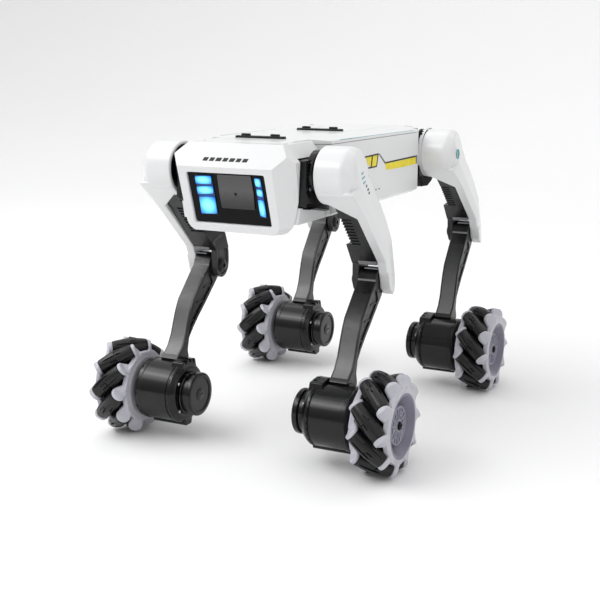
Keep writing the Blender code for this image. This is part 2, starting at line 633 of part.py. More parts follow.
def face_ring(half, bottom, radius, depth):
    """Points round the head in the face's plane, this far behind it, with round lower corners."""
    t = math.radians(FACE_TILT)
    pts = [(-half, 66.0), (half, 66.0)]
    for side, start in ((1, 0), (-1, -90)):
        for k in range(5):
            a = math.radians(start - 22.5 * k)
            pts.append((side * (half - radius) + radius * math.cos(a), bottom + radius + radius * math.sin(a)))
    return [(x, -117.0 - h * math.sin(t) + depth * math.cos(t), 146.5 + h * math.cos(t) + depth * math.sin(t))
            for x, h in pts]


# the sides flare back from the face's edge, parallel to its lean
meet(head, hull(face_ring(32.1, -0.2, 7.0, -1.0) + face_ring(42.3, -5.0, 10.0, 14.0) + face_ring(42.3, -5.0, 10.0, 45.0)))
bevel(head, 1.2, 1, 25)


def tilted_box(hw, z0, z1, depth0, depth1):
    """A box laid in the face's own plane. z is measured up the face from its bottom edge."""
    t = math.radians(FACE_TILT)
    up = Vector((0, -math.sin(t), math.cos(t)))
    out = Vector((0, -math.cos(t), -math.sin(t)))
    base = Vector((0, -117.0, 146.5))
    bm = bmesh.new()
    bmesh.ops.create_cube(bm, size=1.0)
    w0, w1 = hw
    m = Matrix(((1, 0, 0), (0, out.y, up.y), (0, out.z, up.z))).to_4x4()
    centre = base + up * ((z0 + z1) / 2) + out * ((depth0 + depth1) / 2) + Vector(((w0 + w1) / 2, 0, 0))
    bmesh.ops.scale(bm, vec=Vector((w1 - w0, depth1 - depth0, z1 - z0)) * MM, verts=bm.verts)
    bmesh.ops.transform(bm, matrix=Matrix.Translation(centre * MM) @ m, verts=bm.verts)
    return from_bmesh(bm)


cut(head, tilted_box((-26.9, 26.9), 5.0, 38.7, -9.0, 6.0))
cut(head, box(-28.0, 28.0, -113.5, -100, 150.0, 196.5))
finish(tidy(head), "head_shell", material("head_shell", WHITE, 0.28))
finish(tilted_box((-26.6, 26.6), 5.3, 38.4, -4.2, -1.6), "face_screen",
       material("face_screen", (0.008, 0.008, 0.01), 0.08))
finish(tilted_box((-5.9, 17.9), 15.8, 37.9, -1.3, -0.7), "camera_window",
       material("camera_window", (0.07, 0.07, 0.075), 0.3))
for name, s in (("left", 1), ("right", -1)):
    lo, hi = (20.0, 24.4) if s > 0 else (-21.4, -9.6)
    eye = tilted_box((lo, hi), 11.0, 36.8, -1.3, -1.0)
    for z0, z1 in ((11.0, 22.8), (24.6, 29.8), (31.4, 36.8)):
        union(eye, tilted_box((lo, hi), z0, z1, -1.2, -0.4))
    finish(tidy(eye), name + "_eye_lights", material(name + "_eye_lights", (0.25, 0.85, 1.0), 0.25,
                                                     emission=(0.2, 0.8, 1.0)))
finish(cyl_z(0, -108.0, 4.0, 150.4, 163.0, 20), "speaker", material("speaker", DARK, 0.5))

# ---------------------------------------------------------------- centre the whole length on the origin
for o in DOG.objects:
    if o.parent is None:
        o.location.y += CENTRE_Y * MM

# ---------------------------------------------------------------- leave only the dog
for o in list(CUTTERS.objects):
    bpy.data.objects.remove(o, do_unlink=True)
bpy.data.collections.remove(CUTTERS)
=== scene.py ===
import json
import math

import bmesh
import bpy
from mathutils.bvhtree import BVHTree
from mathutils import Matrix, Vector

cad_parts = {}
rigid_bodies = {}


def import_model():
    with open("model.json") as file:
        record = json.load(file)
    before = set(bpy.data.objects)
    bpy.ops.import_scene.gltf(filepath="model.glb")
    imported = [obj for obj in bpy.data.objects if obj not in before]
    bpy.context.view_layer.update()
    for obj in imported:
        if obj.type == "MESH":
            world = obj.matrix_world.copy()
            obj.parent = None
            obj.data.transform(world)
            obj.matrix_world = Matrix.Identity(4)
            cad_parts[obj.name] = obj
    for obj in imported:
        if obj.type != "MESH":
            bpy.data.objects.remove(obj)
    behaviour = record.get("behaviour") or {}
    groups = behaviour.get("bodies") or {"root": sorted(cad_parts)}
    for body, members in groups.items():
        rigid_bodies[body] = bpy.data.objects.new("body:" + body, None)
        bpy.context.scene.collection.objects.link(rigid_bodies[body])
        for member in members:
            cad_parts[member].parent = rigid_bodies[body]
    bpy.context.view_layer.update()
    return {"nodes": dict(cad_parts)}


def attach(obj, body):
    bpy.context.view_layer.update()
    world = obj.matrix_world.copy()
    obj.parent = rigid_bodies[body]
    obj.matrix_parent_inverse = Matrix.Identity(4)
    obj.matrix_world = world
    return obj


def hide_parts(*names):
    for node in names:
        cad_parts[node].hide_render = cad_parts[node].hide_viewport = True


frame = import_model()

# Lengths are millimetres in the model's own frame: +X is the dog's left, it looks along -Y.
# Every piece is modelled there, then scaled to metres and moved by CY along Y.
CY = -13.97
HIP = (-92.1, 182.6)
KNEE = (-46.0, 109.7)
AXLE = (-99.5, 32.0)
LEAN = math.radians(6.0)
WX = 94.2
PITCH_R = 26.2
BODY_W, HIP_W = 43.5, 49.28
BELLY_Z, SEAM_Z, DECK_Z = 152.6, 198.4, 202.0
_dy, _dz = HIP[0] - AXLE[0], HIP[1] - AXLE[1]
REAR_HIP = (99.5 + _dy * math.cos(LEAN) - _dz * math.sin(LEAN),
            32.0 + _dy * math.sin(LEAN) + _dz * math.cos(LEAN))

SCENE = bpy.context.scene
WORK = bpy.data.collections.new("work")
SCENE.collection.children.link(WORK)


# ------------------------------------------------------------------ modelling tools
def from_bm(bm, name="w"):
    bmesh.ops.recalc_face_normals(bm, faces=bm.faces)
    me = bpy.data.meshes.new(name)
    bm.to_mesh(me)
    bm.free()
    o = bpy.data.objects.new(name, me)
    WORK.objects.link(o)
    return o


def bake(o):
    bpy.context.view_layer.update()
    dg = bpy.context.evaluated_depsgraph_get()
    me = bpy.data.meshes.new_from_object(o.evaluated_get(dg))
    old = o.data
    o.modifiers.clear()
    o.data = me
    bpy.data.meshes.remove(old)
    return o


def drop(*objs):
    for o in objs:
        bpy.data.objects.remove(o, do_unlink=True)


PLANES = {
    "YZ": Matrix(((0, 0, 1, 0), (1, 0, 0, 0), (0, 1, 0, 0), (0, 0, 0, 1))),
    "XY": Matrix.Identity(4),
    "XZ": Matrix(((1, 0, 0, 0), (0, 0, -1, 0), (0, 1, 0, 0), (0, 0, 0, 1))),
}


def prism(outline, lo, hi, plane="YZ", holes=()):
    """A flat outline pushed out between two depths along the third axis."""
    cu = bpy.data.curves.new("outline", "CURVE")
    cu.dimensions = "2D"
    cu.fill_mode = "BOTH"
    cu.extrude = (hi - lo) / 2
    for pts in (outline, *holes):
        s = cu.splines.new("POLY")
        s.points.add(len(pts) - 1)
        for p, (u, v) in zip(s.points, pts):
            p.co = (u, v, 0, 1)
        s.use_cyclic_u = True
    o = bpy.data.objects.new("outline", cu)
    WORK.objects.link(o)
    bpy.context.view_layer.update()
    me = bpy.data.meshes.new_from_object(o.evaluated_get(bpy.context.evaluated_depsgraph_get()))
    drop(o)
    bpy.data.curves.remove(cu)
    bm = bmesh.new()
    bm.from_mesh(me)
    bpy.data.meshes.remove(me)
    bmesh.ops.remove_doubles(bm, verts=bm.verts, dist=1e-4)
    bmesh.ops.dissolve_limit(bm, angle_limit=math.radians(0.2), verts=bm.verts, edges=bm.edges)
    mid = (lo + hi) / 2
    if plane == "XZ":
        mid = -mid
    bmesh.ops.transform(bm, matrix=PLANES[plane] @ Matrix.Translation((0, 0, mid)), verts=bm.verts)
    return from_bm(bm)


def turned(profile, y=0.0, z=0.0, n=96, ring=False):
    """A turned piece about an X axis through (y, z); profile lists (x, r)."""
    bm = bmesh.new()
    rows = []
    for x, r in profile:
        if r < 1e-6:
            rows.append([bm.verts.new((x, y, z))])
        else:
            rows.append([bm.verts.new((x, y + r * math.cos(2 * math.pi * i / n), z + r * math.sin(2 * math.pi * i / n)))
                         for i in range(n)])
    pairs = list(zip(rows, rows[1:]))
    if ring:
        pairs.append((rows[-1], rows[0]))
    for a, b in pairs:
        for i in range(n):
            j = (i + 1) % n
            if len(a) == 1 and len(b) == 1:
                continue
            if len(a) == 1:
                bm.faces.new((a[0], b[i], b[j]))
            elif len(b) == 1:
                bm.faces.new((a[i], a[j], b[0]))
            else:
                bm.faces.new((a[i], a[j], b[j], b[i]))
    return from_bm(bm)


def hull(points):
    bm = bmesh.new()
    for p in points:
        bm.verts.new(p)
    res = bmesh.ops.convex_hull(bm, input=bm.verts)
    loose = [g for g in res["geom_interior"] + res["geom_unused"] if isinstance(g, bmesh.types.BMVert)]
    if loose:
        bmesh.ops.delete(bm, geom=list(set(loose)), context="VERTS")
    bmesh.ops.dissolve_limit(bm, angle_limit=math.radians(0.5), verts=bm.verts, edges=bm.edges)
    return from_bm(bm)


def block(x0, x1, y0, y1, z0, z1, r=0.0, seg=2):
    o = hull([(x, y, z) for x in (x0, x1) for y in (y0, y1) for z in (z0, z1)])
    return bevel(o, r, seg) if r else o


def disc(c, axis, r, h, n=24, r2=None):
    """A short cylinder with its middle at c and its axis along the given direction."""
    bm = bmesh.new()
    bmesh.ops.create_cone(bm, cap_ends=True, segments=n, radius1=r, radius2=r if r2 is None else r2, depth=h)
    q = Vector((0, 0, 1)).rotation_difference(Vector(axis).normalized())
    bmesh.ops.transform(bm, matrix=Matrix.Translation(c) @ q.to_matrix().to_4x4(), verts=bm.verts)
    return from_bm(bm)


def combine(a, b, op="UNION"):
    m = a.modifiers.new("b", "BOOLEAN")
    m.operation = op
    m.solver = "EXACT"
    m.object = b
    bake(a)
    drop(b)
    return a


def union(a, *others):
    for b in others:
        combine(a, b, "UNION")
    return a


def cut(a, *others):
    for b in others:
        combine(a, b, "DIFFERENCE")
    return a


def meet(a, *others):
    for b in others:
        combine(a, b, "INTERSECT")
    return a


def join(*objs):
    """One mesh out of several, left as separate shells."""
    bm = bmesh.new()
    for o in objs:
        bm.from_mesh(o.data)
    drop(*objs)
    me = bpy.data.meshes.new("j")
    bm.to_mesh(me)
    bm.free()
    o = bpy.data.objects.new("j", me)
    WORK.objects.link(o)
    return o


def clean(o):
    bm = bmesh.new()
    bm.from_mesh(o.data)
    bmesh.ops.remove_doubles(bm, verts=bm.verts, dist=0.002)
    bmesh.ops.dissolve_degenerate(bm, edges=bm.edges, dist=0.001)
    bmesh.ops.dissolve_limit(bm, angle_limit=math.radians(0.4), verts=bm.verts, edges=bm.edges)
    bm.to_mesh(o.data)
    bm.free()
    return o


def bevel(o, width, seg=3, angle=28):
    m = o.modifiers.new("bevel", "BEVEL")
    m.width = width
    m.segments = seg
    m.limit_method = "ANGLE"
    m.angle_limit = math.radians(angle)
    m.use_clamp_overlap = True
    m.miter_outer = "MITER_ARC"
    return bake(o)


def voxel(o, size, smooth=5):
    m = o.modifiers.new("remesh", "REMESH")
    m.mode = "VOXEL"
    m.voxel_size = size * 1.0
    s = o.modifiers.new("smooth", "SMOOTH")
    s.factor = 0.5
    s.iterations = smooth
    return bake(o)


def rounded(pts, r, n=4):
    """The same outline with each corner rounded."""
    out = []
    k = len(pts)
    for i in range(k):
        p = Vector(pts[i])
        a, b = Vector(pts[i - 1]), Vector(pts[(i + 1) % k])
        da, db = (a - p), (b - p)
        d = min(r, da.length * 0.42, db.length * 0.42)
        s, e = p + da.normalized() * d, p + db.normalized() * d
        for j in range(n + 1):
            t = j / n
            q = s * (1 - t) ** 2 + p * 2 * t * (1 - t) + e * t * t
            out.append((q.x, q.y))
    return out


def inset(pts, d):
    """The outline moved inwards by d (counter-clockwise or clockwise alike)."""
    area = sum(a[0] * b[1] - b[0] * a[1] for a, b in zip(pts, pts[1:] + pts[:1]))
    sgn = 1 if area > 0 else -1
    out = []
    for i, p in enumerate(pts):
        a, b = Vector(pts[i - 1]), Vector(pts[(i + 1) % len(pts)])
        p = Vector(p)
        n1 = Vector((-(p - a).y, (p - a).x)).normalized() * sgn
        n2 = Vector((-(b - p).y, (b - p).x)).normalized() * sgn
        m = n1 + n2
        m = m / max(m.length_squared / 2, 0.6)
        out.append(tuple(p + m * d))
    return out


def arc(cy, cz, r, a0, a1, n):
    return [(cy + r * math.cos(math.radians(a0 + (a1 - a0) * i / n)),
             cz + r * math.sin(math.radians(a0 + (a1 - a0) * i / n))) for i in range(n + 1)]


def screw(c, axis, r=1.6, h=0.9):
    """A pan-head screw with a cross recess, standing on c."""
    prof = [(0, 0), (0, r), (h * 0.45, r), (h * 0.85, r * 0.72), (h, r * 0.35), (h, 0)]
    o = turned(prof, n=24)
    cut(o, hull([(x, y, z) for x in (h * 0.45, h + 1) for y in (-r * 0.62, r * 0.62) for z in (-r * 0.14, r * 0.14)]),
        hull([(x, y, z) for x in (h * 0.45, h + 1) for y in (-r * 0.14, r * 0.14) for z in (-r * 0.62, r * 0.62)]))
    q = Vector((1, 0, 0)).rotation_difference(Vector(axis).normalized())
    o.data.transform(Matrix.Translation(c) @ q.to_matrix().to_4x4())
    return o


# ------------------------------------------------------------------ materials
def nodes_of(name):
    m = bpy.data.materials.new(name)
    m.use_nodes = True
    nt = m.node_tree
    b = nt.nodes["Principled BSDF"]
    co = nt.nodes.new("ShaderNodeTexCoord")
    return m, nt, b, co


def noise_node(nt, co, scale, detail=4.0, rough=0.55, stretch=None, source="Object"):
    t = nt.nodes.new("ShaderNodeTexNoise")
    t.inputs["Scale"].default_value = scale
    t.inputs["Detail"].default_value = detail
    t.inputs["Roughness"].default_value = rough
    if stretch:
        mp = nt.nodes.new("ShaderNodeMapping")
        mp.inputs["Scale"].default_value = stretch
        nt.links.new(co.outputs[source], mp.inputs["Vector"])
        nt.links.new(mp.outputs["Vector"], t.inputs["Vector"])
    else:
        nt.links.new(co.outputs[source], t.inputs["Vector"])
    return t


def ramp(nt, src, stops):
    r = nt.nodes.new("ShaderNodeValToRGB")
    els = r.color_ramp.elements
    while len(els) < len(stops):
        els.new(0.5)
    for e, (pos, rgb) in zip(els, stops):
        e.position = pos
        e.color = (*rgb, 1.0)
    nt.links.new(src, r.inputs["Fac"])
    return r


def surface(name, base, rough, spread=0.05, vary=0.06, blotch=35.0, grain=2600.0, depth=0.00002, strength=0.25,
            metal=0.0, coat=0.0, coat_rough=0.06, spec=0.5, stretch=None, tint=None):
    """Moulded or turned surface: slow colour drift, uneven gloss and a fine relief."""
    m, nt, b, co = nodes_of(name)
    slow = noise_node(nt, co, blotch, 5.0)
    tint = tint or tuple(c * (1 + vary) for c in base)
    low = tuple(max(0.0, c * (1 - vary)) for c in base)
    col = ramp(nt, slow.outputs["Fac"], [(0.32, low), (0.5, base), (0.68, tint)])
    nt.links.new(col.outputs["Color"], b.inputs["Base Color"])
    mid = noise_node(nt, co, blotch * 6, 6.0, 0.65, stretch)
    mr = nt.nodes.new("ShaderNodeMapRange")
    mr.inputs["From Min"].default_value = 0.3
    mr.inputs["From Max"].default_value = 0.7
    mr.inputs["To Min"].default_value = max(0.02, rough - spread)
    mr.inputs["To Max"].default_value = rough + spread
    nt.links.new(mid.outputs["Fac"], mr.inputs["Value"])
    nt.links.new(mr.outputs["Result"], b.inputs["Roughness"])
    fine = noise_node(nt, co, grain, 3.0, 0.6, stretch)
    bp = nt.nodes.new("ShaderNodeBump")
    bp.inputs["Strength"].default_value = strength
    bp.inputs["Distance"].default_value = depth
    nt.links.new(fine.outputs["Fac"], bp.inputs["Height"])
    nt.links.new(bp.outputs["Normal"], b.inputs["Normal"])
    b.inputs["Metallic"].default_value = metal
    b.inputs["Coat Weight"].default_value = coat
    b.inputs["Coat Roughness"].default_value = coat_rough
    b.inputs["Specular IOR Level"].default_value = spec
    return m


def glow(name, centre, edge, power):
    """Lit window: bright middle falling to a deeper blue at its rim."""
    m, nt, b, co = nodes_of(name)
    mp = nt.nodes.new("ShaderNodeMapping")
    mp.inputs["Location"].default_value = (-1.0, -1.0, -1.0)
    mp.inputs["Scale"].default_value = (2.0, 2.0, 2.0)
    nt.links.new(co.outputs["Generated"], mp.inputs["Vector"])
    g = nt.nodes.new("ShaderNodeTexGradient")
    g.gradient_type = "SPHERICAL"
    sq = nt.nodes.new("ShaderNodeVectorMath")
    sq.operation = "MULTIPLY"
    sq.inputs[1].default_value = (0.78, 0.0, 0.78)
    nt.links.new(mp.outputs["Vector"], sq.inputs[0])
    nt.links.new(sq.outputs["Vector"], g.inputs["Vector"])
    n = noise_node(nt, co, 900.0, 3.0)
    add = nt.nodes.new("ShaderNodeMath")
    add.operation = "MULTIPLY_ADD"
    add.inputs[1].default_value = 0.12
    nt.links.new(n.outputs["Fac"], add.inputs[0])
    nt.links.new(g.outputs["Fac"], add.inputs[2])
    r = ramp(nt, add.outputs["Value"], [(0.08, edge), (0.40, tuple(0.35 * c + 0.65 * e for c, e in zip(centre, edge))), (0.95, centre)])
    nt.links.new(r.outputs["Color"], b.inputs["Emission Color"])
    nt.links.new(r.outputs["Color"], b.inputs["Base Color"])
    b.inputs["Emission Strength"].default_value = power
    b.inputs["Roughness"].default_value = 0.12
    return m


def board_material():
    m, nt, b, co = nodes_of("board_green")
    v = nt.nodes.new("ShaderNodeTexVoronoi")
    v.distance = "CHEBYCHEV"
    v.inputs["Scale"].default_value = 420.0
    nt.links.new(co.outputs["Object"], v.inputs["Vector"])
    r = ramp(nt, v.outputs["Distance"], [(0.05, (0.35, 0.22, 0.05)), (0.12, (0.01, 0.13, 0.05)), (0.6, (0.015, 0.2, 0.08))])
    nt.links.new(r.outputs["Color"], b.inputs["Base Color"])
    bp = nt.nodes.new("ShaderNodeBump")
    bp.inputs["Strength"].default_value = 0.4
    bp.inputs["Distance"].default_value = 0.0002
    nt.links.new(v.outputs["Distance"], bp.inputs["Height"])
    nt.links.new(bp.outputs["Normal"], b.inputs["Normal"])
    b.inputs["Roughness"].default_value = 0.42
    return m


def fading_panel(name, stops):
    """Satin panel whose grey changes from its foot to its head; on the shin's face this change is a painted floor
    reflection.
    """
    m, nt, b, co = nodes_of(name)
    sep = nt.nodes.new("ShaderNodeSeparateXYZ")
    nt.links.new(co.outputs["Generated"], sep.inputs[0])
    n = noise_node(nt, co, 260.0, 5.0)
    add = nt.nodes.new("ShaderNodeMath")
    add.operation = "MULTIPLY_ADD"
    add.inputs[1].default_value = 0.16
    nt.links.new(n.outputs["Fac"], add.inputs[0])
    nt.links.new(sep.outputs["Z"], add.inputs[2])
    r = ramp(nt, add.outputs["Value"], stops)
    nt.links.new(r.outputs["Color"], b.inputs["Base Color"])
    mr = nt.nodes.new("ShaderNodeMapRange")
    mr.inputs["To Min"].default_value = 0.3
    mr.inputs["To Max"].default_value = 0.5
    nt.links.new(n.outputs["Fac"], mr.inputs["Value"])
    nt.links.new(mr.outputs["Result"], b.inputs["Roughness"])
    fine = noise_node(nt, co, 5200.0, 2.0)
    bp = nt.nodes.new("ShaderNodeBump")
    bp.inputs["Strength"].default_value = 0.2
    bp.inputs["Distance"].default_value = 0.00002
    nt.links.new(fine.outputs["Fac"], bp.inputs["Height"])
    nt.links.new(bp.outputs["Normal"], b.inputs["Normal"])
    return m


MAT = {
    "white": surface("white_shell", (0.74, 0.743, 0.75), 0.3, 0.02, 0.006, 14.0, 4200.0, 0.00001, 0.04, coat=0.3,
                     coat_rough=0.12),
    "black": surface("black_frame", (0.006, 0.006, 0.0066), 0.34, 0.08, 0.22, 60.0, 5200.0, 0.00003, 0.3, spec=0.34),
    "shin": surface("shin_satin", (0.006, 0.006, 0.0066), 0.33, 0.07, 0.2, 45.0, 6000.0, 0.00003, 0.25, spec=0.5),
    "gloss": surface("black_gloss", (0.0022, 0.0022, 0.0025), 0.19, 0.05, 0.2, 50.0, 900.0, 0.00002, 0.1, spec=0.38,
                     stretch=(0.06, 1.0, 1.0)),
    "deep": surface("black_deep", (0.004, 0.004, 0.0045), 0.5, 0.1, 0.3, 80.0, 3000.0, 0.00004, 0.3, spec=0.15),
    # pale grey for the bars at the knee and the shin's top: painted highlights standing in for lit edges
    "trim": surface("frame_painted_highlight", (0.20, 0.20, 0.21), 0.3, 0.07, 0.12, 90.0, 4200.0, 0.00002, 0.25, spec=0.5),
    "cheek": surface("cheek_satin", (0.035, 0.035, 0.037), 0.36, 0.08, 0.18, 70.0, 5200.0, 0.00003, 0.3, spec=0.3),
    "plate": surface("wheel_plate", (0.50, 0.495, 0.545), 0.36, 0.08, 0.09, 55.0, 3800.0, 0.00004, 0.3,
                     tint=(0.43, 0.425, 0.48), spec=0.4),
    "face": surface("hub_face", (0.25, 0.245, 0.31), 0.4, 0.09, 0.16, 120.0, 3800.0, 0.00004, 0.35),
    "rubber": surface("roller_rubber", (0.0045, 0.0045, 0.005), 0.36, 0.1, 0.3, 120.0, 7000.0, 0.00006, 0.45, spec=0.4),
    "steel": surface("turned_steel", (0.55, 0.55, 0.57), 0.28, 0.08, 0.08, 150.0, 2600.0, 0.00002, 0.3, metal=1.0,
                     stretch=(1.0, 0.1, 0.1)),
    "screen": surface("screen_glass", (0.0022, 0.0022, 0.003), 0.1, 0.03, 0.3, 40.0, 700.0, 0.00001, 0.05, spec=0.12),
    "window": fading_panel("window_grey", [(0.05, (0.006, 0.006, 0.007)), (0.32, (0.03, 0.03, 0.032)),
                                           (0.62, (0.075, 0.073, 0.074)), (1.0, (0.06, 0.058, 0.06))]),
    # shin face: painted floor reflection, pale grey at the foot darkening to near black at the knee
    "shin_painted_reflection": fading_panel("shin_face_painted_reflection", [(0.0, (0.17, 0.17, 0.172)), (0.45, (0.12, 0.12, 0.122)),
                                           (0.78, (0.05, 0.05, 0.051)), (1.0, (0.018, 0.018, 0.019))]),
    # darker lavender for the dish's wall: painted shade inside the wheel's hollow
    "dish": surface("dish_painted_shade", (0.17, 0.16, 0.215), 0.38, 0.07, 0.12, 90.0, 3800.0, 0.00004, 0.3),
    "yellow": surface("stripe_yellow", (0.82, 0.68, 0.02), 0.34, 0.06, 0.07, 160.0, 2600.0, 0.00002, 0.2, spec=0.3),
    "amber": surface("stripe_amber", (0.62, 0.44, 0.03), 0.36, 0.06, 0.12, 160.0, 2600.0, 0.00002, 0.2, spec=0.3),
    "ink": surface("mark_black", (0.012, 0.012, 0.013), 0.42, 0.08, 0.3, 300.0, 3800.0, 0.00002, 0.3, spec=0.3),
    "grey_ink": surface("mark_grey", (0.19, 0.185, 0.16), 0.42, 0.08, 0.2, 300.0, 3800.0, 0.00002, 0.3, spec=0.3),
    "teal": surface("mark_teal", (0.08, 0.34, 0.35), 0.36, 0.06, 0.15, 300.0, 3800.0, 0.00002, 0.2, spec=0.3),
    "board": board_material(),
    "wrap": surface("battery_wrap", (0.03, 0.09, 0.30), 0.3, 0.08, 0.15, 60.0, 1800.0, 0.00008, 0.5, coat=0.3,
                    stretch=(1.0, 0.25, 1.0)),
    "eye": glow("eye_glow", (0.20, 0.82, 0.97), (0.0, 0.11, 0.46), 1.0),
    "halo": glow("eye_halo", (0.0, 0.035, 0.20), (0.0, 0.006, 0.04), 0.8),
}
CAD_MAT = {"thigh_cover": "white", "thigh_frame": "black", "hip_horn": "deep", "knee_pin": "steel", "shin": "shin",
           "motor_housing": "gloss", "motor_cap": "gloss", "wheel_shaft": "steel", "wheel_hub": "plate",
           "wheel_rollers": "rubber", "hip_drum": "gloss", "body_lower_shell": "white", "body_top_cover": "white",
           "battery_door": "white", "head_shell": "white", "deck_strip": "black", "battery_pack": "wrap",
           "chassis_plate": "deep", "control_board": "board", "charging_socket": "black", "power_button": "black",
           "face_screen": "screen", "camera_window": "window", "eye_lights": "eye", "speaker": "deep"}
for _n, _o in frame["nodes"].items():
    key = next(k for k in CAD_MAT if k in _n)
    _o.data.materials.clear()
    _o.data.materials.append(MAT[CAD_MAT[key]])

UNITS = Matrix.Scale(0.001, 4)


def place(master, name, body, mat, M=None, nodes=(), sharp=36, weighted=True, keep=False):
    """A finished piece: a copy of the master, moved to its leg or left where it is, riding on its body."""
    me = master.data.copy()
    M = M or Matrix.Identity(4)
    me.transform(UNITS @ Matrix.Translation((0, CY, 0)) @ M)
    if M.to_3x3().determinant() < 0:
        me.flip_normals()
    me.name = name
    me.materials.clear()
    me.materials.append(MAT[mat])
    me.shade_smooth()
    me.set_sharp_from_angle(angle=math.radians(sharp))
    o = bpy.data.objects.new(name, me)
    SCENE.collection.objects.link(o)
    if weighted:
        w = o.modifiers.new("weighted", "WEIGHTED_NORMAL")
        w.keep_sharp = True
        w.weight = 60
    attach(o, body)
    if nodes:
        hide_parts(*nodes)
    return o


MIRROR = Matrix.Scale(-1, 4, (1, 0, 0))
SWING = (Matrix.Translation((0, *REAR_HIP)) @ Matrix.Rotation(LEAN, 4, "X") @ Matrix.Translation((0, -HIP[0], -HIP[1])))
LEGS = {
    "front_left": (Matrix.Identity(4), Matrix.Identity(4), Matrix.Identity(4)),
    "front_right": (MIRROR, MIRROR, MIRROR),
    "rear_left": (SWING, Matrix.Translation((0, 199.0, 0)), Matrix.Translation((0, REAR_HIP[0] - HIP[0], REAR_HIP[1] - HIP[1]))),
    "rear_right": (MIRROR @ SWING, MIRROR @ Matrix.Translation((0, 199.0, 0)),
                   MIRROR @ Matrix.Translation((0, REAR_HIP[0] - HIP[0], REAR_HIP[1] - HIP[1]))),
}


# ------------------------------------------------------------------ the thigh's white cover
RIDGES = (((-92.6, 171.2), (0.700, -0.714)), ((-47.9, 114.3), (0.27, -0.963)))


def slope_cut(o, lift=0.0, slope=0.26):
    """The outer face falls away behind the ridge beside the blade's front edge."""
    for (y, z), (ty, tz) in RIDGES:
        cut(o, hull([(x, y - tz * d + ty * t, z + ty * d + tz * t) for t in (-60, 90)
                     for x, d in ((77.0 + lift + 2 * slope, -2), (77.0 + lift - 50 * slope, 50), (95, -2), (95, 50))]))
    return o


def build_cover():
    y, z = HIP
    dome = [(77.0, 0), (77.0, 8.0), (76.4, 10.2), (75.0, 12.9), (72.9, 15.3), (70.4, 17.3), (68.8, 18.3), (67.4, 18.6)]
    barrel = turned(dome + [(51.2, 18.6), (50.5, 17.9), (50.5, 0)], y, z, 96)
    chin = prism([(-107.6, 171.5), (-87.6, 155.2), (-76, 160.7), (-78, 186), (-106.2, 183)], 51.6, 73.0)
    cut(chin, hull([(x, a + dy, b + dz) for x, a, b in ((45, -108.6, 169.6), (69.7, -87.9, 155.0),
                                                       (69.7, -60, 132), (45, -75, 142.5))
                    for dy, dz in ((-12, -15), (12, 15))]))
    full = [(-108.4, 172.6), (-106.6, 170.5), (-87.2, 154.9), (-70.5, 138.7), (-54.5, 123.3), (-50.5, 113), (-48.5, 105),
            (-43.5, 100.5), (-36.5, 101.5), (-32, 106), (-31.3, 112), (-33.5, 121), (-38.5, 135), (-46, 149), (-55, 160.5),
            (-66, 171), (-75, 185), (-83, 197), (-100, 198)]
    blade = prism(full, 69.6, 77.0)
    # the band along the front edge leans a little forward, up to the ridge
    cut(blade, hull([(x, -54.5 - 0.695 * d * -1 + 0.719 * t, 123.3 + 0.719 * d - 0.695 * t) for t in (-90, 12)
                     for x, d in ((75.7, -3), (77.15, 8.6), (90, -3), (90, 8.6))]))
    bevel(blade, 0.5, 2)
    # the blade's head is trimmed to the barrel's domed end
    trim = turned(dome + [(60, 18.6), (60, 0)], y, z, 96)
    skirt = prism([(-108.4, 172.6), (-106.6, 170.5), (-87.2, 154.9), (-54.5, 123.3), (-50, 96), (-25, 96), (-25, 125),
                   (-52, 163.5), (-67.5, 170.6), (-73.6, 181.5), (-80, 176), (-100.5, 176.5)], 60, 80)
    union(trim, skirt)
    meet(blade, trim)
    union(barrel, chin, blade)
    slope_cut(barrel)
    cavity = turned([(69.7, 0), (69.7, 16.1), (45, 16.1), (45, 0)], y, z, 64)
    slot = prism([(-97.6, 167.6), (-84.5, 154.6), (-79, 149), (-48, 149.5), (-59.5, 163.4), (-71, 175.5), (-77, 183),
                  (-92, 186)], 46.5, 69.7)
    union(cavity, slot)
    cut(barrel, cavity)
    path = [(-104.5, 170.9), (-98.0, 165.4), (-86.0, 155.8), (-69.6, 139.6), (-60.5, 131.0)]
    for (a, b), (c, d) in zip(path, path[1:]):
        cut(barrel, disc((76.75, (a + c) / 2, (b + d) / 2), (0.12, c - a, d - b), 0.75, math.hypot(c - a, d - b) + 0.5, 10))
    o = voxel(barrel, 0.42, 3)
    for v in o.data.vertices:                             # the barrel is a little flattened on top
        if v.co.z > z:
            v.co.z = z + (v.co.z - z) * (1.0 - 0.081 * min(1.0, (v.co.z - z) / 12.0))
    return o


def build_frame():
    """Ribbed arm, hip boss and web."""
    y, z = HIP
    arm = prism([(-97, 167.2), (-84.2, 155.2), (-54.7, 123.2), (-52.9, 121), (-38, 121), (-38.6, 126), (-42.2, 137),
                 (-49.5, 150), (-60, 163), (-78, 180)], 56.2, 69.3)
    bevel(arm, 0.5, 2)
    face = lambda h: -84.2 + (155.2 - h) * 29.5 / 32.0
    slots = [block(55.0, 63.4, face(h) - 4, face(h) + 1.9, h - 0.62, h + 0.62) for h in
             [153.6 - 2.15 * k for k in range(9)]]
    for s in slots:
        cut(arm, s)
    web = hull([(52.9, -66.2, 135.6), (52.9, -42.4, 136.6), (60, -66.2, 135.6), (60, -42.4, 136.6),
                (51.4, -54.7, 123.2), (51.4, -52.9, 121), (60, -54.7, 123.2), (60, -52.9, 121),
                (51.4, -36.4, 121), (60, -37.5, 121), (51.4, -40.5, 131.7)])
    bevel(web, 0.5, 2)
    union(arm, web)
    boss = turned([(69.0, 0), (69.0, 15.4), (53.2, 15.6), (52.7, 15.0), (52.7, 0)], y, z, 64)
    union(arm, boss)
    return arm


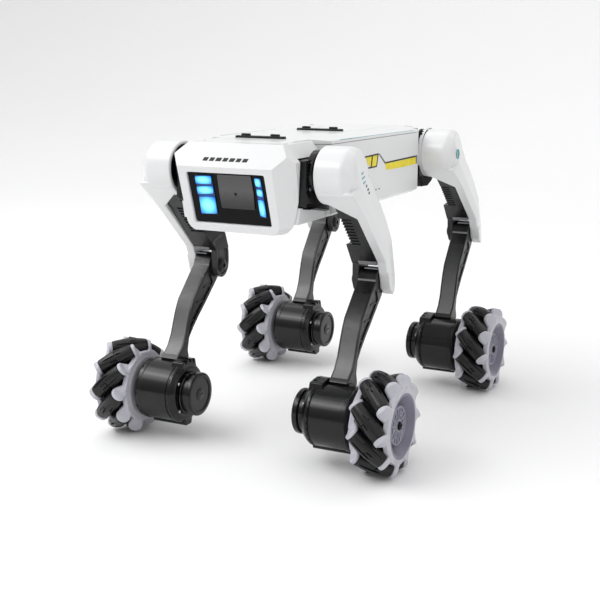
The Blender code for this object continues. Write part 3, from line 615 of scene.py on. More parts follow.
def build_cheek():
    pts = [(-52.7, 121.4), (-52.7, 107.5), (-50.2, 103), (-46, 100.9), (-41, 102), (-37.2, 106), (-36, 112),
           (-36.2, 119), (-40.5, 131.5), (-50, 131.5), (-58.6, 128.0)]
    c = prism(rounded(pts, 1.6, 3), 51.5, 55.9)
    bevel(c, 0.55, 3)
    cut(c, prism(rounded(inset(pts, 2.1), 1.2, 3), 50.0, 52.2))
    lip = prism(rounded(inset(pts, 3.1), 1.0, 3), 51.9, 53.0)
    cut(lip, prism(rounded(inset(pts, 3.9), 0.8, 3), 51.0, 54.0))
    slot = prism(rounded([(-51.0, 129.4), (-51.0, 127.2), (-46.2, 127.2), (-46.2, 129.4)], 1.0, 4), 50.0, 54.4)
    cut(c, slot)
    return union(c, lip)


def build_knee_bolt():
    y, z = KNEE
    b = turned([(49.6, 0), (49.6, 2.9), (49.9, 3.9), (50.5, 4.4), (51.3, 4.6), (51.6, 4.6), (51.6, 5.6), (52.6, 5.6),
                (52.6, 2.4), (73.2, 2.4), (73.2, 0)], y, z, 40)
    return cut(b, prism([(y + 1.7 * math.cos(math.radians(a)), z + 1.7 * math.sin(math.radians(a)))
                         for a in range(0, 360, 60)], 49.0, 50.6))


def build_knee_highlights():
    """Pale grey bars across the clevis: painted highlights on the arm's lower edge and in the gap below it."""
    lip = prism([(-55.3, 123.4), (-54.0, 121.2), (-52.9, 120.6), (-52.3, 121.2), (-53.6, 122.3), (-54.6, 123.9)], 56.4, 69.2)
    bar = block(60.0, 69.25, -52.6, -51.4, 117.9, 118.8, 0.25)
    return join(bevel(lip, 0.2, 2), bar)


def build_shin():
    ay, az = AXLE
    front = [(-55.5, 110), (-61, 105), (-70, 96), (-76, 90), (-80, 83), (-83, 76), (-86.5, 67), (-91, 60), (-97.5, 54.6)]
    back = [(-83.2, 50.5), (-84.6, 57), (-82.5, 65), (-77, 71), (-70, 77.5), (-62, 84), (-54, 91), (-46, 98), (-42.8, 101.2)]
    outline = arc(ay, az, 21.2, 88, 44, 12) + back + arc(*KNEE, 8.8, -55, 150, 18) + front
    s = prism(outline, 56.3, 69.3)
    bevel(s, 1.1, 3, 24)
    pocket = [(-86.2, 60.5), (-83.4, 67), (-79.2, 72.7), (-71.5, 79.8), (-63.5, 86.4), (-55.4, 93.5), (-50.4, 98.2),
              (-53.6, 104.6), (-60.6, 102.4), (-68.4, 94.2), (-73.9, 88.4), (-77.6, 81.9), (-80.6, 74.9), (-84.2, 66.0)]
    pocket = rounded(pocket, 1.2, 2)
    cut(s, prism(pocket, 68.4, 71.0), prism(pocket, 55.0, 57.2))
    # ribs across both pockets
    for k, (a, b) in enumerate(((-83.6, 63.5), (-77.6, 76.0), (-67.5, 87.0), (-58.0, 96.2))):
        rib = block(56.6, 69.0, a - 3.6, a + 4.4, b - 0.45, b + 0.45)
        union(s, meet(rib, prism(inset(outline, 0.8), 56.0, 69.6)))
    cut(s, disc((63, *KNEE), (1, 0, 0), 2.75, 40, 24))
    hub = turned([(56.0, 3.0), (56.0, 5.8), (56.6, 6.3), (57.4, 6.3), (57.4, 3.0)], *KNEE, 48, ring=True)
    return join(s, hub)


def build_shin_face():
    """Pad down the shin's front; its material carries a painted floor reflection, pale at its foot and dark towards the
    knee.
    """
    front = [(-62.5, 103.6), (-70, 96), (-76, 90), (-80, 83), (-83, 76), (-86.5, 67), (-91, 60), (-96.2, 55.7)]
    path = [Vector(q) for q in front]
    out, back = [], []
    for i, q in enumerate(path):
        d = (path[min(i + 1, len(path) - 1)] - path[max(i - 1, 0)]).normalized()
        n = Vector((d.y, -d.x))
        if n.x > 0:
            n = -n
        out.append(tuple(q + n * 0.22))
        back.append(tuple(q - n * 1.0))
    return bevel(prism(out + back[::-1], 57.6, 68.1), 0.2, 2)


def build_shin_highlight():
    # pale grey bar at the shin's top, below the knee: a painted highlight on that edge
    return bevel(prism([(-55.4, 111.6), (-55.2, 109.9), (-54.3, 109.9), (-54.4, 112.0)], 56.6, 69.0), 0.2, 2)


def build_motor():
    ay, az = AXLE
    body = turned([(78.5, 0), (78.5, 17.6), (77.9, 18.2), (77.9, 19.0), (77.5, 19.6), (76.6, 20.5), (76.0, 20.7),
                   (73.4, 20.7), (73.1, 20.35), (72.7, 20.3), (52.9, 20.3), (52.6, 19.8), (51.9, 19.8), (51.6, 20.3),
                   (51.4, 20.6), (50.0, 20.6), (49.4, 20.4), (47.0, 18.6), (46.4, 17.9), (46.1, 17.0), (46.1, 0)],
                  ay, az, 144)
    teeth = []
    for k in range(30):
        a = 2 * math.pi * k / 30
        teeth.append(disc((51.6, ay + 20.9 * math.cos(a), az + 20.9 * math.sin(a)), (1, 0, 0), 0.85, 1.6, 8))
    cut(body, join(*teeth))
    tab = prism(rounded([(-104.4, 15.0), (-94.6, 15.0), (-96.2, 9.3), (-102.9, 9.3)], 0.8, 3), 47.6, 73.6)
    bevel(tab, 0.5, 3)
    top = prism([(-110, 44.5), (-89, 44.5), (-91, 54.0), (-96.6, 54.9), (-106, 53.9)], 46.5, 55.6)
    bevel(top, 0.7, 3)
    cut(top, block(45, 50.0, -103.5, -101.5, 52.6, 58), block(45, 50.0, -98.6, -96.6, 52.6, 58),
        block(45, 50.0, -94, -92.6, 51.6, 58))
    saddle = turned([(56.0, 20.2), (56.0, 20.9), (56.4, 21.1), (69.4, 21.1), (69.8, 20.9), (69.8, 20.2)], ay, az, 144, ring=True)
    half = block(50, 80, -97.8, -78.5, 40, 60)
    meet(saddle, half)
    return join(body, tab, top, saddle)


def build_motor_cap():
    ay, az = AXLE
    c = turned([(45.9, 0), (45.9, 14.2), (45.4, 14.5), (44.6, 14.2), (44.3, 13.3), (41.7, 13.3), (41.4, 14.2), (41.0, 14.65),
                (38.6, 14.7), (37.9, 14.5), (37.5, 14.0), (37.3, 13.2), (37.3, 11.9), (37.7, 11.5), (38.2, 11.3),
                (38.2, 4.6), (37.8, 4.3), (37.6, 3.8), (37.6, 0)], ay, az, 120)
    grip = [disc((41.3, ay + 14.9 * math.cos(2 * math.pi * k / 36), az + 14.9 * math.sin(2 * math.pi * k / 36)),
                 (1, 0, 0), 0.42, 1.6, 8) for k in range(36)]
    cut(c, join(*grip))
    cut(c, block(37.0, 38.0, ay - 3.0, ay + 3.0, az - 0.45, az + 0.45))
    return c


def build_motor_screws():
    ay, az = AXLE
    out = []
    for a in (35, 145, 215, 325):
        a = math.radians(a)
        p = (46.0, ay + 16.2 * math.cos(a), az + 16.2 * math.sin(a))
        out.append(screw(p, (-1, 0, 0), 1.15, 0.7))
    return join(*out)


# ------------------------------------------------------------------ wheel
def roller_frame(k):
    ay, az = AXLE
    return (Matrix.Translation((WX, ay, az)) @ Matrix.Rotation(math.pi / 2 + 2 * math.pi * k / 10, 4, "X")
            @ Matrix.Translation((0, -PITCH_R, 0)) @ Matrix.Rotation(math.radians(-45), 4, "Y"))


def build_roller():
    """One barrel roller along Z with its tread recesses."""
    prof = [(-12, 0), (-12, 3.9), (-11.8, 4.35), (-11.3, 4.62), (-8.4, 5.12), (-4.4, 5.6), (0, 5.8), (4.4, 5.6), (8.4, 5.12),
            (11.3, 4.62), (11.8, 4.35), (12, 3.9), (12, 0)]
    o = turned(prof, n=48)
    cuts = []
    for k in range(6):
        a = 2 * math.pi * k / 6
        c, s = math.cos(a), math.sin(a)
        x0, x1 = ((-9.6, 3.0) if k % 2 else (-3.0, 9.6))
        # a long thin groove, and a framed pocket beside it
        spec = [((x0 + x1) / 2, x1 - x0, 0.0, 1.15), ((x0 + x1) / 2 + (5.6 if k % 2 else -5.6), 4.4, 2.5, 0.8),
                ((x0 + x1) / 2 + (5.6 if k % 2 else -5.6), 4.4, -0.2, 0.7)]
        for xm, length, side, w in spec:
            r = 5.45
            cy, cz = r * c - side * s, r * s + side * c
            b = hull([(x, u, v) for x in (-length / 2, length / 2) for u in (-1.0, 0.9) for v in (-w / 2, w / 2)])
            b.data.transform(Matrix.Translation((xm, cy, cz)) @ Matrix.Rotation(a, 4, "X"))
            cuts.append(b)
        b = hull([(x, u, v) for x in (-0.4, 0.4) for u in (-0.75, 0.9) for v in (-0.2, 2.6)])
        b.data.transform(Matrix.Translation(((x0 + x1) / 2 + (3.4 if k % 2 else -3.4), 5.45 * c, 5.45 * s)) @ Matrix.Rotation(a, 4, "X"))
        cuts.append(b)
    for b in cuts:
        cut(o, b)
    o.data.transform(Matrix.Rotation(-math.pi / 2, 4, "Y"))
    return o


def build_rollers(roller):
    bits = []
    for k in range(10):
        c = bpy.data.objects.new("r", roller.data.copy())
        WORK.objects.link(c)
        c.data.transform(roller_frame(k) @ Matrix.Rotation(math.radians(37 * k), 4, "Z"))
        bits.append(c)
    o = join(*bits)
    for v in o.data.vertices:                             # stays inside the rim's foremost point
        v.co.y = max(v.co.y, AXLE[0] - 31.52)
    return o


def build_plate(side):
    """Lobed side plate: a ring with ten tilted cups that hold the roller ends."""
    ay, az = AXLE
    if side < 0:
        core = turned([(WX - 13.6, 12.0), (WX - 13.6, 20.4), (WX - 13.0, 21.2), (WX - 10.8, 21.2), (WX - 10.2, 20.4),
                       (WX - 10.2, 12.0)], ay, az, 80, ring=True)
    else:
        core = turned([(WX + 5.4, 0), (WX + 5.4, 13.4), (WX + 6.2, 14.4), (WX + 12.0, 18.6), (WX + 12.8, 19.7),
                       (WX + 12.8, 20.9), (WX + 12.2, 21.6), (WX + 10.0, 21.6), (WX + 9.2, 20.4), (WX + 4.6, 16.6),
                       (WX + 3.6, 14.4), (WX + 3.6, 0)], ay, az, 80)
    parts = [core]
    s = 1 if side < 0 else -1
    for k in range(10):
        M = roller_frame(k)
        inward = (M.to_3x3() @ Vector((0, 1, 0))).normalized()
        # the cup: a short thick cap on the roller's own axis
        tip = 14.5 if side < 0 else 15.3
        cup = turned([(12.1, 0), (12.1, 4.5), (12.4, 4.95), (tip - 0.9, 4.95), (tip - 0.3, 4.6), (tip, 3.9), (tip, 0)], n=28)
        cup.data.transform(M @ Matrix.Translation((0, 0.75, 0)) @ Matrix.Rotation(-s * math.pi / 2, 4, "Y"))
        mid = M @ Vector((0, 0.75, s * 14.0))
        near = [v.co.copy() for v in cup.data.vertices if (v.co - mid).dot(inward) > 0.8]
        ang = math.atan2(mid.z - az, mid.y - ay)
        foot = []
        for da in (-0.29, 0.29):
            for x in ((WX - 13.4, WX - 10.4) if side < 0 else (WX + 10.0, WX + 12.6)):
                foot.append(Vector((x, ay + 20.4 * math.cos(ang + da), az + 20.4 * math.sin(ang + da))))
        parts += [cup, hull(near + foot)]
        # web that closes the bay between this cup and the next, low down
        nxt = math.atan2((roller_frame(k + 1) @ Vector((0, 0.75, s * 14.0))).z - az,
                         (roller_frame(k + 1) @ Vector((0, 0.75, s * 14.0))).y - ay)
        half = (ang + ((nxt - ang + math.pi) % (2 * math.pi) - math.pi) / 2)
        web = []
        for da in (-0.27, 0.27):
            for r in (20.0, 25.0):
                for x in ((WX - 13.2, WX - 9.6) if side < 0 else (WX + 9.0, WX + 12.4)):
                    web.append((x, ay + r * math.cos(half + da), az + r * math.sin(half + da)))
        parts.append(hull(web))
    o = join(*parts)
    o = voxel(o, 0.38, 2)
    for v in o.data.vertices:
        v.co.x = max(v.co.x, WX - 15.22) if side < 0 else min(v.co.x, WX + 15.22)
        d = Vector((v.co.y - ay, v.co.z - az))
        if d.length > 31.5:
            d *= 31.5 / d.length
            v.co.y, v.co.z = ay + d.x, az + d.y
    return o


def build_wheel_core():
    """Drum between the plates, scalloped under each roller, in black: painted shade between the rollers over the
    lavender hub.
    """
    ay, az = AXLE
    c = turned([(WX + 3.4, 12), (WX + 3.4, 15), (WX + 9.3, 19.4), (WX + 9.3, 20.2), (WX - 11.8, 20.2), (WX - 11.8, 12)],
               ay, az, 90, ring=True)
    for k in range(10):
        M = roller_frame(k)
        a = (M.to_3x3() @ Vector((0, 0, 1))).normalized()
        cut(c, disc(M @ Vector((0, 0, 0)), a, 6.3, 60, 20))
    return c


def build_dish():
    """Darker sheet over the outer dish's wall, from the hub disc out to the rim: painted shade inside the hollow."""
    ay, az = AXLE
    return turned([(WX + 5.75, 12.2), (WX + 5.75, 13.2), (WX + 6.5, 14.1), (WX + 12.3, 18.35), (WX + 13.0, 19.55),
                   (WX + 13.0, 20.5), (WX + 12.5, 20.5), (WX + 11.6, 19.2), (WX + 5.9, 15.0), (WX + 5.0, 13.6),
                   (WX + 5.0, 12.2)], ay, az, 96, ring=True)


def build_hub_face():
    """Ribbed disc that stands in the outer dish."""
    ay, az = AXLE
    d = turned([(WX + 10.2, 0), (WX + 10.2, 3.9), (WX + 9.6, 4.3), (WX + 9.3, 4.9), (WX + 9.3, 10.9), (WX + 9.9, 11.3),
                (WX + 10.0, 12.0), (WX + 9.6, 12.4), (WX + 5.0, 12.5), (WX + 5.0, 0)], ay, az, 90)
    ribs = []
    for k in range(15):
        a = 2 * math.pi * k / 15
        r = block(WX + 9.0, WX + 9.95, 4.2, 11.4, -0.36, 0.36)
        r.data.transform(Matrix.Translation((0, ay, az)) @ Matrix.Rotation(a, 4, "X"))
        ribs.append(r)
    for k in range(3):
        a = 2 * math.pi * (k + 0.5) / 3
        ribs.append(turned([(WX + 10.0, 0.9), (WX + 10.0, 1.7), (WX + 9.0, 1.9), (WX + 9.0, 0.9)],
                           ay + 7.6 * math.cos(a), az + 7.6 * math.sin(a), 24, ring=True))
    ribs.append(turned([(WX + 9.8, 7.4), (WX + 9.8, 7.9), (WX + 9.0, 7.9), (WX + 9.0, 7.4)], ay, az, 80, ring=True))
    return join(d, *ribs)


def build_hub_screw():
    ay, az = AXLE
    return screw((WX + 10.1, ay, az), (1, 0, 0), 2.7, 1.5)


def build_plate_bolts():
    """Small bolts on the inner plate's ring."""
    ay, az = AXLE
    out = []
    for k in range(5):
        a = 2 * math.pi * k / 5 + 0.3
        out.append(screw((WX - 15.05, ay + 17.0 * math.cos(a), az + 17.0 * math.sin(a)), (-1, 0, 0), 1.2, 0.15))
    return join(*out)


# ------------------------------------------------------------------ hip servos
def build_hip_case():
    y, z = HIP
    case = prism([(-109.3, 191.8), (-109.3, 163.7), (-75.3, 157.9), (-75.3, 190.3), (-79, 191.8)], 30.7, 45.6)
    bevel(case, 0.8, 3)
    bits = [case]
    for k in range(4):                                   # fins along the case's outer wall
        h = 188.6 - 2.1 * k
        bits.append(block(44.6, 46.3, -108.6, -76.4, h - 0.45, h + 0.45, 0.15))
    for k in range(9):                                   # gear teeth at the top edge
        bits.append(block(43.4, 46.5, -107.6 + 3.4 * k, -106.0 + 3.4 * k, 189.6, 191.8, 0.3))
    for k in range(3):                                   # stay rods below the disc
        bits.append(block(38.0, 46.4, -108.4 + k * 1.2, -80.0, 166.2 - 2.2 * k, 167.0 - 2.2 * k, 0.2))
    bits.append(hull([(45.2, -108.8, 171.5), (46.5, -108.8, 171.5), (45.2, -108.8, 165.5), (46.5, -108.8, 165.5),
                      (45.2, -96, 164.4), (46.5, -96, 164.4)]))
    bits.append(turned([(49.6, 0), (49.6, 9.0), (49.3, 9.4), (48.4, 9.4), (48.2, 13.6), (47.9, 14.2), (46.9, 14.5), (44, 14.5),
                        (44, 0)], y, z, 72))
    return join(*bits)


def build_hip_case_screws():
    return join(screw((46.2, -104.8, 184.0), (1, 0, 0), 1.3, 0.8), screw((46.2, -79.0, 162.8), (1, 0, 0), 1.3, 0.8),
                screw((46.2, -105.2, 174.4), (1, 0, 0), 1.3, 0.8))


def build_rear_drum():
    """Modelled about the front hip, like the leg, and moved to the rear one."""
    y, z = HIP
    drum = turned([(49.6, 0), (49.6, 9.0), (49.3, 9.4), (48.6, 9.4), (48.4, 15.8), (48.0, 16.8), (47.2, 17.2), (44.0, 17.2),
                   (44.0, 0)], y, z, 96)
    foot = prism(rounded([(y - 16.6, z - 9), (y - 15.9, z - 17), (y - 12.5, z - 25.2), (y + 3, z - 26.0), (y + 13.5, z - 22),
                          (y + 16, z - 9)], 1.0, 3), 44.1, 49.2)
    bevel(foot, 0.6, 2)
    bars = [block(44.6, 49.5, y - 12 + 2 * k, y + 10, z - 19.6 - 1.9 * k, z - 19.0 - 1.9 * k, 0.15) for k in range(3)]
    teeth = [block(46.0, 49.4, y - 13.0 + 3.0 * k, y - 11.6 + 3.0 * k, z + 13.5 + 0.9 * k, z + 15.3 + 0.9 * k, 0.2)
             for k in range(3)]
    return join(drum, foot, *bars, *teeth)


M_COVER = build_cover()
M_FRAME = build_frame()
M_CHEEK = build_cheek()
M_BOLT = build_knee_bolt()
M_KNEE_HIGHLIGHTS = build_knee_highlights()
M_SHIN = build_shin()
M_SHIN_HIGHLIGHT = build_shin_highlight()
M_SHINFACE = build_shin_face()
M_MOTOR = build_motor()
M_CAP = build_motor_cap()
M_MSCREW = build_motor_screws()
M_ROLLERS = build_rollers(build_roller())
M_PIN = build_plate(-1)
M_POUT = build_plate(1)
M_CORE = build_wheel_core()
M_FACE = build_hub_face()
M_DISH = build_dish()
M_HSCREW = build_hub_screw()
M_PBOLTS = build_plate_bolts()
M_CASE = build_hip_case()
M_CSCREW = build_hip_case_screws()
M_DRUM = build_rear_drum()
# the small ring round each rear-view mark on the shoulder
M_OVAL = turned([(77.0, 2.15), (77.0, 2.45), (76.1, 2.45), (76.1, 2.15)], HIP[0] - 8.9, HIP[1] + 0.9, 40, ring=True)
M_OVAL.data.transform(Matrix.Translation((0, 0, HIP[1] + 0.9)) @ Matrix.Scale(1.5, 4, (0, 0, 1))
                      @ Matrix.Translation((0, 0, -HIP[1] - 0.9)))
# small strokes on the front covers' outer faces, laid on the surface as (y, z) outlines
COVER_TREE = BVHTree.FromPolygons([v.co.copy() for v in M_COVER.data.vertices],
                                  [tuple(q.vertices) for q in M_COVER.data.polygons])


def cover_mark(polys):
    bm = bmesh.new()
    for pts in polys:
        area = sum(a[0] * b[1] - b[0] * a[1] for a, b in zip(pts, pts[1:] + pts[:1]))
        pts = pts if area > 0 else list(reversed(pts))
        top, low = [], []
        for y, z in pts:
            hit = COVER_TREE.ray_cast(Vector((95.0, y, z)), Vector((-1.0, 0.0, 0.0)))[0]
            top.append(bm.verts.new((hit.x + 0.16, y, z)))
            low.append(bm.verts.new((hit.x - 0.25, y, z)))
        bm.faces.new(top)
        bm.faces.new(list(reversed(low)))
        for i in range(len(pts)):
            j = (i + 1) % len(pts)
            bm.faces.new((top[i], low[i], low[j], top[j]))
    return from_bm(bm)


M_MARK_A = cover_mark([[(-93.9, 184.1), (-88.5, 184.7), (-88.5, 183.8), (-93.9, 183.2)], [(-94.4, 181.3), (-86.9, 182.1), (-86.9, 181.2), (-94.4, 180.4)], [(-93.2, 178.4), (-86.8, 179.2), (-86.8, 178.3), (-93.1, 177.5)]])
M_MARK_B = cover_mark([[(-87.3, 176.2), (-84.5, 176.6), (-84.5, 175.5), (-87.3, 175.0)], [(-85.1, 173.7), (-81.7, 174.2), (-81.6, 173.1), (-85.0, 172.6)], [(-83.7, 171.5), (-80.6, 171.9), (-80.6, 170.8), (-83.7, 170.4)]])
# white lip of the rear covers that closes the slit beside the body
M_COLLAR = bevel(turned([(50.7, 17.6), (50.7, 18.3), (48.2, 18.3), (48.2, 17.6)], HIP[0], HIP[1], 96, ring=True), 0.2, 2)
M_TIPHOLE = screw((73.9, -45.7, 105.0), (1, 0, 0), 1.2, 0.5)

for tag, (leg, wheel, hipm) in LEGS.items():
    thigh, lower, spin = tag + "_thigh", tag + "_lower_leg", tag + "_wheel"
    place(M_COVER, tag + "_cover_visual", thigh, "white", leg, [tag + "_thigh_cover"], weighted=False, sharp=60)
    if tag.startswith("rear"):
        place(M_OVAL, tag + "_cover_oval", thigh, "teal", leg)
        place(M_COLLAR, tag + "_cover_lip", thigh, "white", leg)
    else:
        place(M_MARK_A, tag + "_cover_mark_a", thigh, "teal", leg, weighted=False)
        place(M_MARK_B, tag + "_cover_mark_b", thigh, "ink", leg, weighted=False)
    place(M_TIPHOLE, tag + "_cover_screw", thigh, "steel", leg)
    place(M_FRAME, tag + "_frame_visual", thigh, "black", leg, [tag + "_thigh_frame"])
    place(M_CHEEK, tag + "_cheek_visual", thigh, "cheek", leg)
    place(M_BOLT, tag + "_knee_bolt", thigh, "black", leg, [tag + "_knee_pin"])
    # pale grey bars: painted highlights on the clevis edges
    place(M_KNEE_HIGHLIGHTS, tag + "_knee_painted_highlights", thigh, "trim", leg)
    place(M_SHIN, tag + "_shin_visual", lower, "shin", leg, [tag + "_shin"])
    # pale grey bar: a painted highlight on the shin's top edge
    place(M_SHIN_HIGHLIGHT, tag + "_shin_painted_highlight", lower, "trim", leg)
    # pad whose grey is a painted floor reflection on the shin's front
    place(M_SHINFACE, tag + "_shin_face_painted_reflection", lower, "shin_painted_reflection", leg)
    place(M_MOTOR, tag + "_motor_visual", lower, "gloss", leg, [tag + "_motor_housing"])
    place(M_CAP, tag + "_motor_cap_visual", lower, "gloss", leg, [tag + "_motor_cap"])
    place(M_MSCREW, tag + "_motor_screws", lower, "steel", leg)
    place(M_ROLLERS, tag + "_rollers_visual", spin, "rubber", wheel, [tag + "_wheel_rollers"])
    place(M_PIN, tag + "_inner_plate", spin, "plate", wheel, [tag + "_wheel_hub"], weighted=False, sharp=60)
    place(M_POUT, tag + "_outer_plate", spin, "plate", wheel, weighted=False, sharp=60)
    # black drum: painted shade between the rollers
    place(M_CORE, tag + "_wheel_core_painted_shade", spin, "deep", wheel)
    place(M_FACE, tag + "_hub_face", spin, "face", wheel)
    # darker sheet in the dish: painted shade of its wall
    place(M_DISH, tag + "_hub_dish_painted_shade", spin, "dish", wheel)
    place(M_HSCREW, tag + "_hub_screw", spin, "deep", wheel)
    place(M_PBOLTS, tag + "_plate_bolts", spin, "steel", wheel)
    if tag.startswith("front"):
        place(M_CASE, tag + "_hip_case", "body", "gloss", hipm, [tag + "_hip_drum"])
        place(M_CSCREW, tag + "_hip_screws", "body", "steel", hipm)
    else:
        place(M_DRUM, tag + "_hip_case", "body", "gloss", hipm, [tag + "_hip_drum"])


# ------------------------------------------------------------------ trunk
def both(half):
    return half + [(-x, y) for x, y in reversed(half)]


PLAN = both([(27.5, -103.6), (30.2, -100), (30.2, -74.2), (43.5, -69), (49.28, 72.4), (43.6, 73.3), (43.5, 85.5),
             (30.2, 89), (30.2, 110), (26, 114)])


def build_trunk():
    shell = prism(PLAN, BELLY_Z, SEAM_Z + 2, "XY")
    meet(shell, prism([(-103.6, 159.5), (-84, BELLY_Z), (92, BELLY_Z), (114, 161), (114, 202), (-103.6, 202)], -60, 60))
    meet(shell, prism([(-40.5, 150), (40.5, 150), (40.5, BELLY_Z), (46, 156), (50.2, 156.5), (50.2, 203), (-50.2, 203),
                       (-50.2, 156.5), (-46, 156), (-40.5, BELLY_Z)], -120, 120, "XZ"))
    clean(shell)
    bevel(shell, 1.3, 4, 20)
    cut(shell, block(-60, 60, -130, 130, SEAM_Z, SEAM_Z + 10))
    tub = prism(both([(25, -101), (27.8, -73.5), (41.3, -67), (41.3, 83.5), (27.8, 87.5), (27.8, 109), (25, 111.8)]),
                BELLY_Z + 2.2, 210, "XY")
    meet(tub, prism([(-101, 162), (-84, BELLY_Z + 2.2), (91, BELLY_Z + 2.2), (111.8, 163), (111.8, 210), (-101, 210)], -60, 60))
    meet(tub, prism([(-36.5, 150), (36.5, 150), (36.5, BELLY_Z + 2.2), (41.3, 162.5), (41.3, 215), (-41.3, 215),
                     (-41.3, 162.5), (-36.5, BELLY_Z + 2.2)], -120, 120, "XZ"))
    cut(shell, tub)
    for s in (1, -1):
        c = prism([(s * x, y) for x, y in ((31.5, -109.6), (42.5, -109.6), (42.5, -59), (28.6, -59), (28.6, -102.9),
                                           (31.5, -102.9))], 150, 170, "XY")
        meet(c, prism([(-112, BELLY_Z + 0.1), (-50, BELLY_Z + 0.1), (-50, 153.2), (-59.5, 154.7), (-112, 163.4)], -60, 60),
             prism([(s * x, z) for x, z in ((20, 140), (40.4, 140), (40.4, BELLY_Z), (42.0, 163), (42, 180), (20, 180))],
                   -120, -40, "XZ"))
        clean(c)
        bevel(c, 0.9, 3, 20)
        union(shell, c)
    # battery door recess, button and socket openings, screw pockets along the belly
    door = prism(rounded([(-20.5, -22), (20.5, -22), (20.5, 46), (-20.5, 46)], 2.0, 4), BELLY_Z - 5, BELLY_Z + 5, "XY")
    cut(shell, door, prism(rounded([(-14.5, 176.5), (-5.5, 176.5), (-5.5, 185.5), (-14.5, 185.5)], 1.2, 3), 105, 120, "XZ"),
        prism(rounded([(5, 177.5), (15, 177.5), (15, 184.5), (5, 184.5)], 1.2, 3), 105, 120, "XZ"))
    for x, y in ((28, -62), (-28, -62), (32, 0), (-32, 0), (28, 74), (-28, 74)):
        cut(shell, disc((x, y, BELLY_Z), (0, 0, 1), 2.3, 2.4, 24))
    # air slots across the tail
    for k in range(5):
        h = 188.2 - 2.6 * k
        cut(shell, prism(rounded([(-11, h - 0.6), (11, h - 0.6), (11, h + 0.6), (-11, h + 0.6)], 0.5, 3), 113.2, 120, "XZ")
            if k < 1 else block(16.5, 22.5, 113.2, 120, 180.5 - 2.6 * k - 0.6, 180.5 - 2.6 * k + 0.6, 0.3))
    return shell


def build_lid():
    lid = prism(PLAN, SEAM_Z - 2, 206, "XY")
    meet(lid, prism([(-50.2, 190), (50.2, 190), (50.2, 199.8), (44, 200.8), (31, 201.6), (24, DECK_Z), (-24, DECK_Z),
                     (-31, 201.6), (-44, 200.8), (-50.2, 199.8)], -120, 120, "XZ"))
    meet(lid, prism([(-103.6, 190), (114, 190), (114, 199.8), (90, DECK_Z), (-88, DECK_Z), (-103.6, 201.0)], -60, 60))
    clean(lid)
    bevel(lid, 1.3, 4, 24)
    cut(lid, block(-60, 60, -130, 130, 180, SEAM_Z + 0.35))
    cut(lid, prism(both([(24, -98), (26, -74), (38.5, -65), (38.5, 81), (26, 86), (24, 108)]), 190, 200.0, "XY"))
    for s in (1, -1):
        slope = [(32.8, 200.9), (39.5, 192.4)]
        for y0, y1, sec in ((-103.3, -74.7, [(30.0, SEAM_Z + 0.35), (30.0, 200.9)] + slope
                             + [(30.6, 192.4), (30.6, SEAM_Z + 0.35)]),
                            (-109.6, -103.1, [(31.5, 192.4), (31.5, 200.9)] + slope)):
            e = prism([(s * x, z) for x, z in sec], y0, y1, "XZ")
            bevel(e, 0.45, 3, 30)
            union(lid, e)
    for y in (-82.0, 5.0):
        cut(lid, prism(rounded([(-17.9, y - 2.6), (17.9, y - 2.6), (17.9, y + 2.6), (-17.9, y + 2.6)], 1.6, 4),
                       200.9, 210, "XY"))
    # shallow panel grooves in the deck
    for s in (1, -1):
        line = [(s * 44.0, -57.0), (s * 49.0, 68.0)]
        (ax, ay_), (bx, by_) = line
        g = hull([(ax - 0.28, ay_, 199.9), (ax + 0.28, ay_, 199.9), (bx - 0.28, by_, 199.0), (bx + 0.28, by_, 199.0),
                  (ax - 0.28, ay_, 204), (ax + 0.28, ay_, 204), (bx - 0.28, by_, 204), (bx + 0.28, by_, 204)])
        drop(g)
        cut(lid, block(s * 24.0 - 0.25, s * 24.0 + 0.25, -40, 73, 201.62, 204))
    return lid


def build_strip(y):
    s = prism(rounded([(-17.6, y - 2.3), (17.6, y - 2.3), (17.6, y + 2.3), (-17.6, y + 2.3)], 1.5, 4), 201.2, 203.4, "XY")
    bevel(s, 0.45, 3)
    for a in (-13.5, 7.5):
        p = prism(rounded([(a, y - 1.6), (a + 6, y - 1.6), (a + 6, y + 1.6), (a, y + 1.6)], 1.0, 4), 202.5, 204.7, "XY")
        bevel(p, 0.4, 3)
        for k in range(3):
            cut(p, block(a + 1.1 + 1.5 * k, a + 1.6 + 1.5 * k, y - 3, y + 3, 204.4, 206))
        union(s, p)
    return s


def build_door():
    d = prism(rounded([(-20.2, -21.7), (20.2, -21.7), (20.2, 45.7), (-20.2, 45.7)], 1.9, 4), BELLY_Z, BELLY_Z + 2.0, "XY")
    bevel(d, 0.35, 2)
    for k in range(6):
        cut(d, block(-9, 9, 33 + 1.8 * k - 0.45, 33 + 1.8 * k + 0.45, BELLY_Z - 1, BELLY_Z + 0.5))
    cut(d, disc((0, -17.0, BELLY_Z), (0, 0, 1), 2.4, 1.6, 24))
    return d


def build_button():
    b = prism(rounded([(-14.1, 176.9), (-5.9, 176.9), (-5.9, 185.1), (-14.1, 185.1)], 1.4, 4), 112.2, 116.4, "XZ")
    bevel(b, 0.6, 3)
    union(b, block(-12, -8, 106.5, 113, 179, 183))
    cut(b, power_ring())
    return b


def power_ring():
    r = turned([(-0.5, 1.7), (-0.5, 2.3), (0.5, 2.3), (0.5, 1.7)], n=40, ring=True)
    r.data.transform(Matrix.Translation((-10, 116.4, 181)) @ Matrix.Rotation(math.pi / 2, 4, "Z"))
    return r


def build_socket():
    s = prism(rounded([(5.4, 177.9), (14.6, 177.9), (14.6, 184.1), (5.4, 184.1)], 1.1, 3), 106.5, 113.8, "XZ")
    bevel(s, 0.35, 2)
    cut(s, prism(rounded([(6.6, 179.4), (13.4, 179.4), (13.4, 182.6), (6.6, 182.6)], 1.5, 5), 109.0, 116, "XZ"))
    return union(s, block(7.6, 12.4, 108.5, 112.6, 180.7, 181.3))


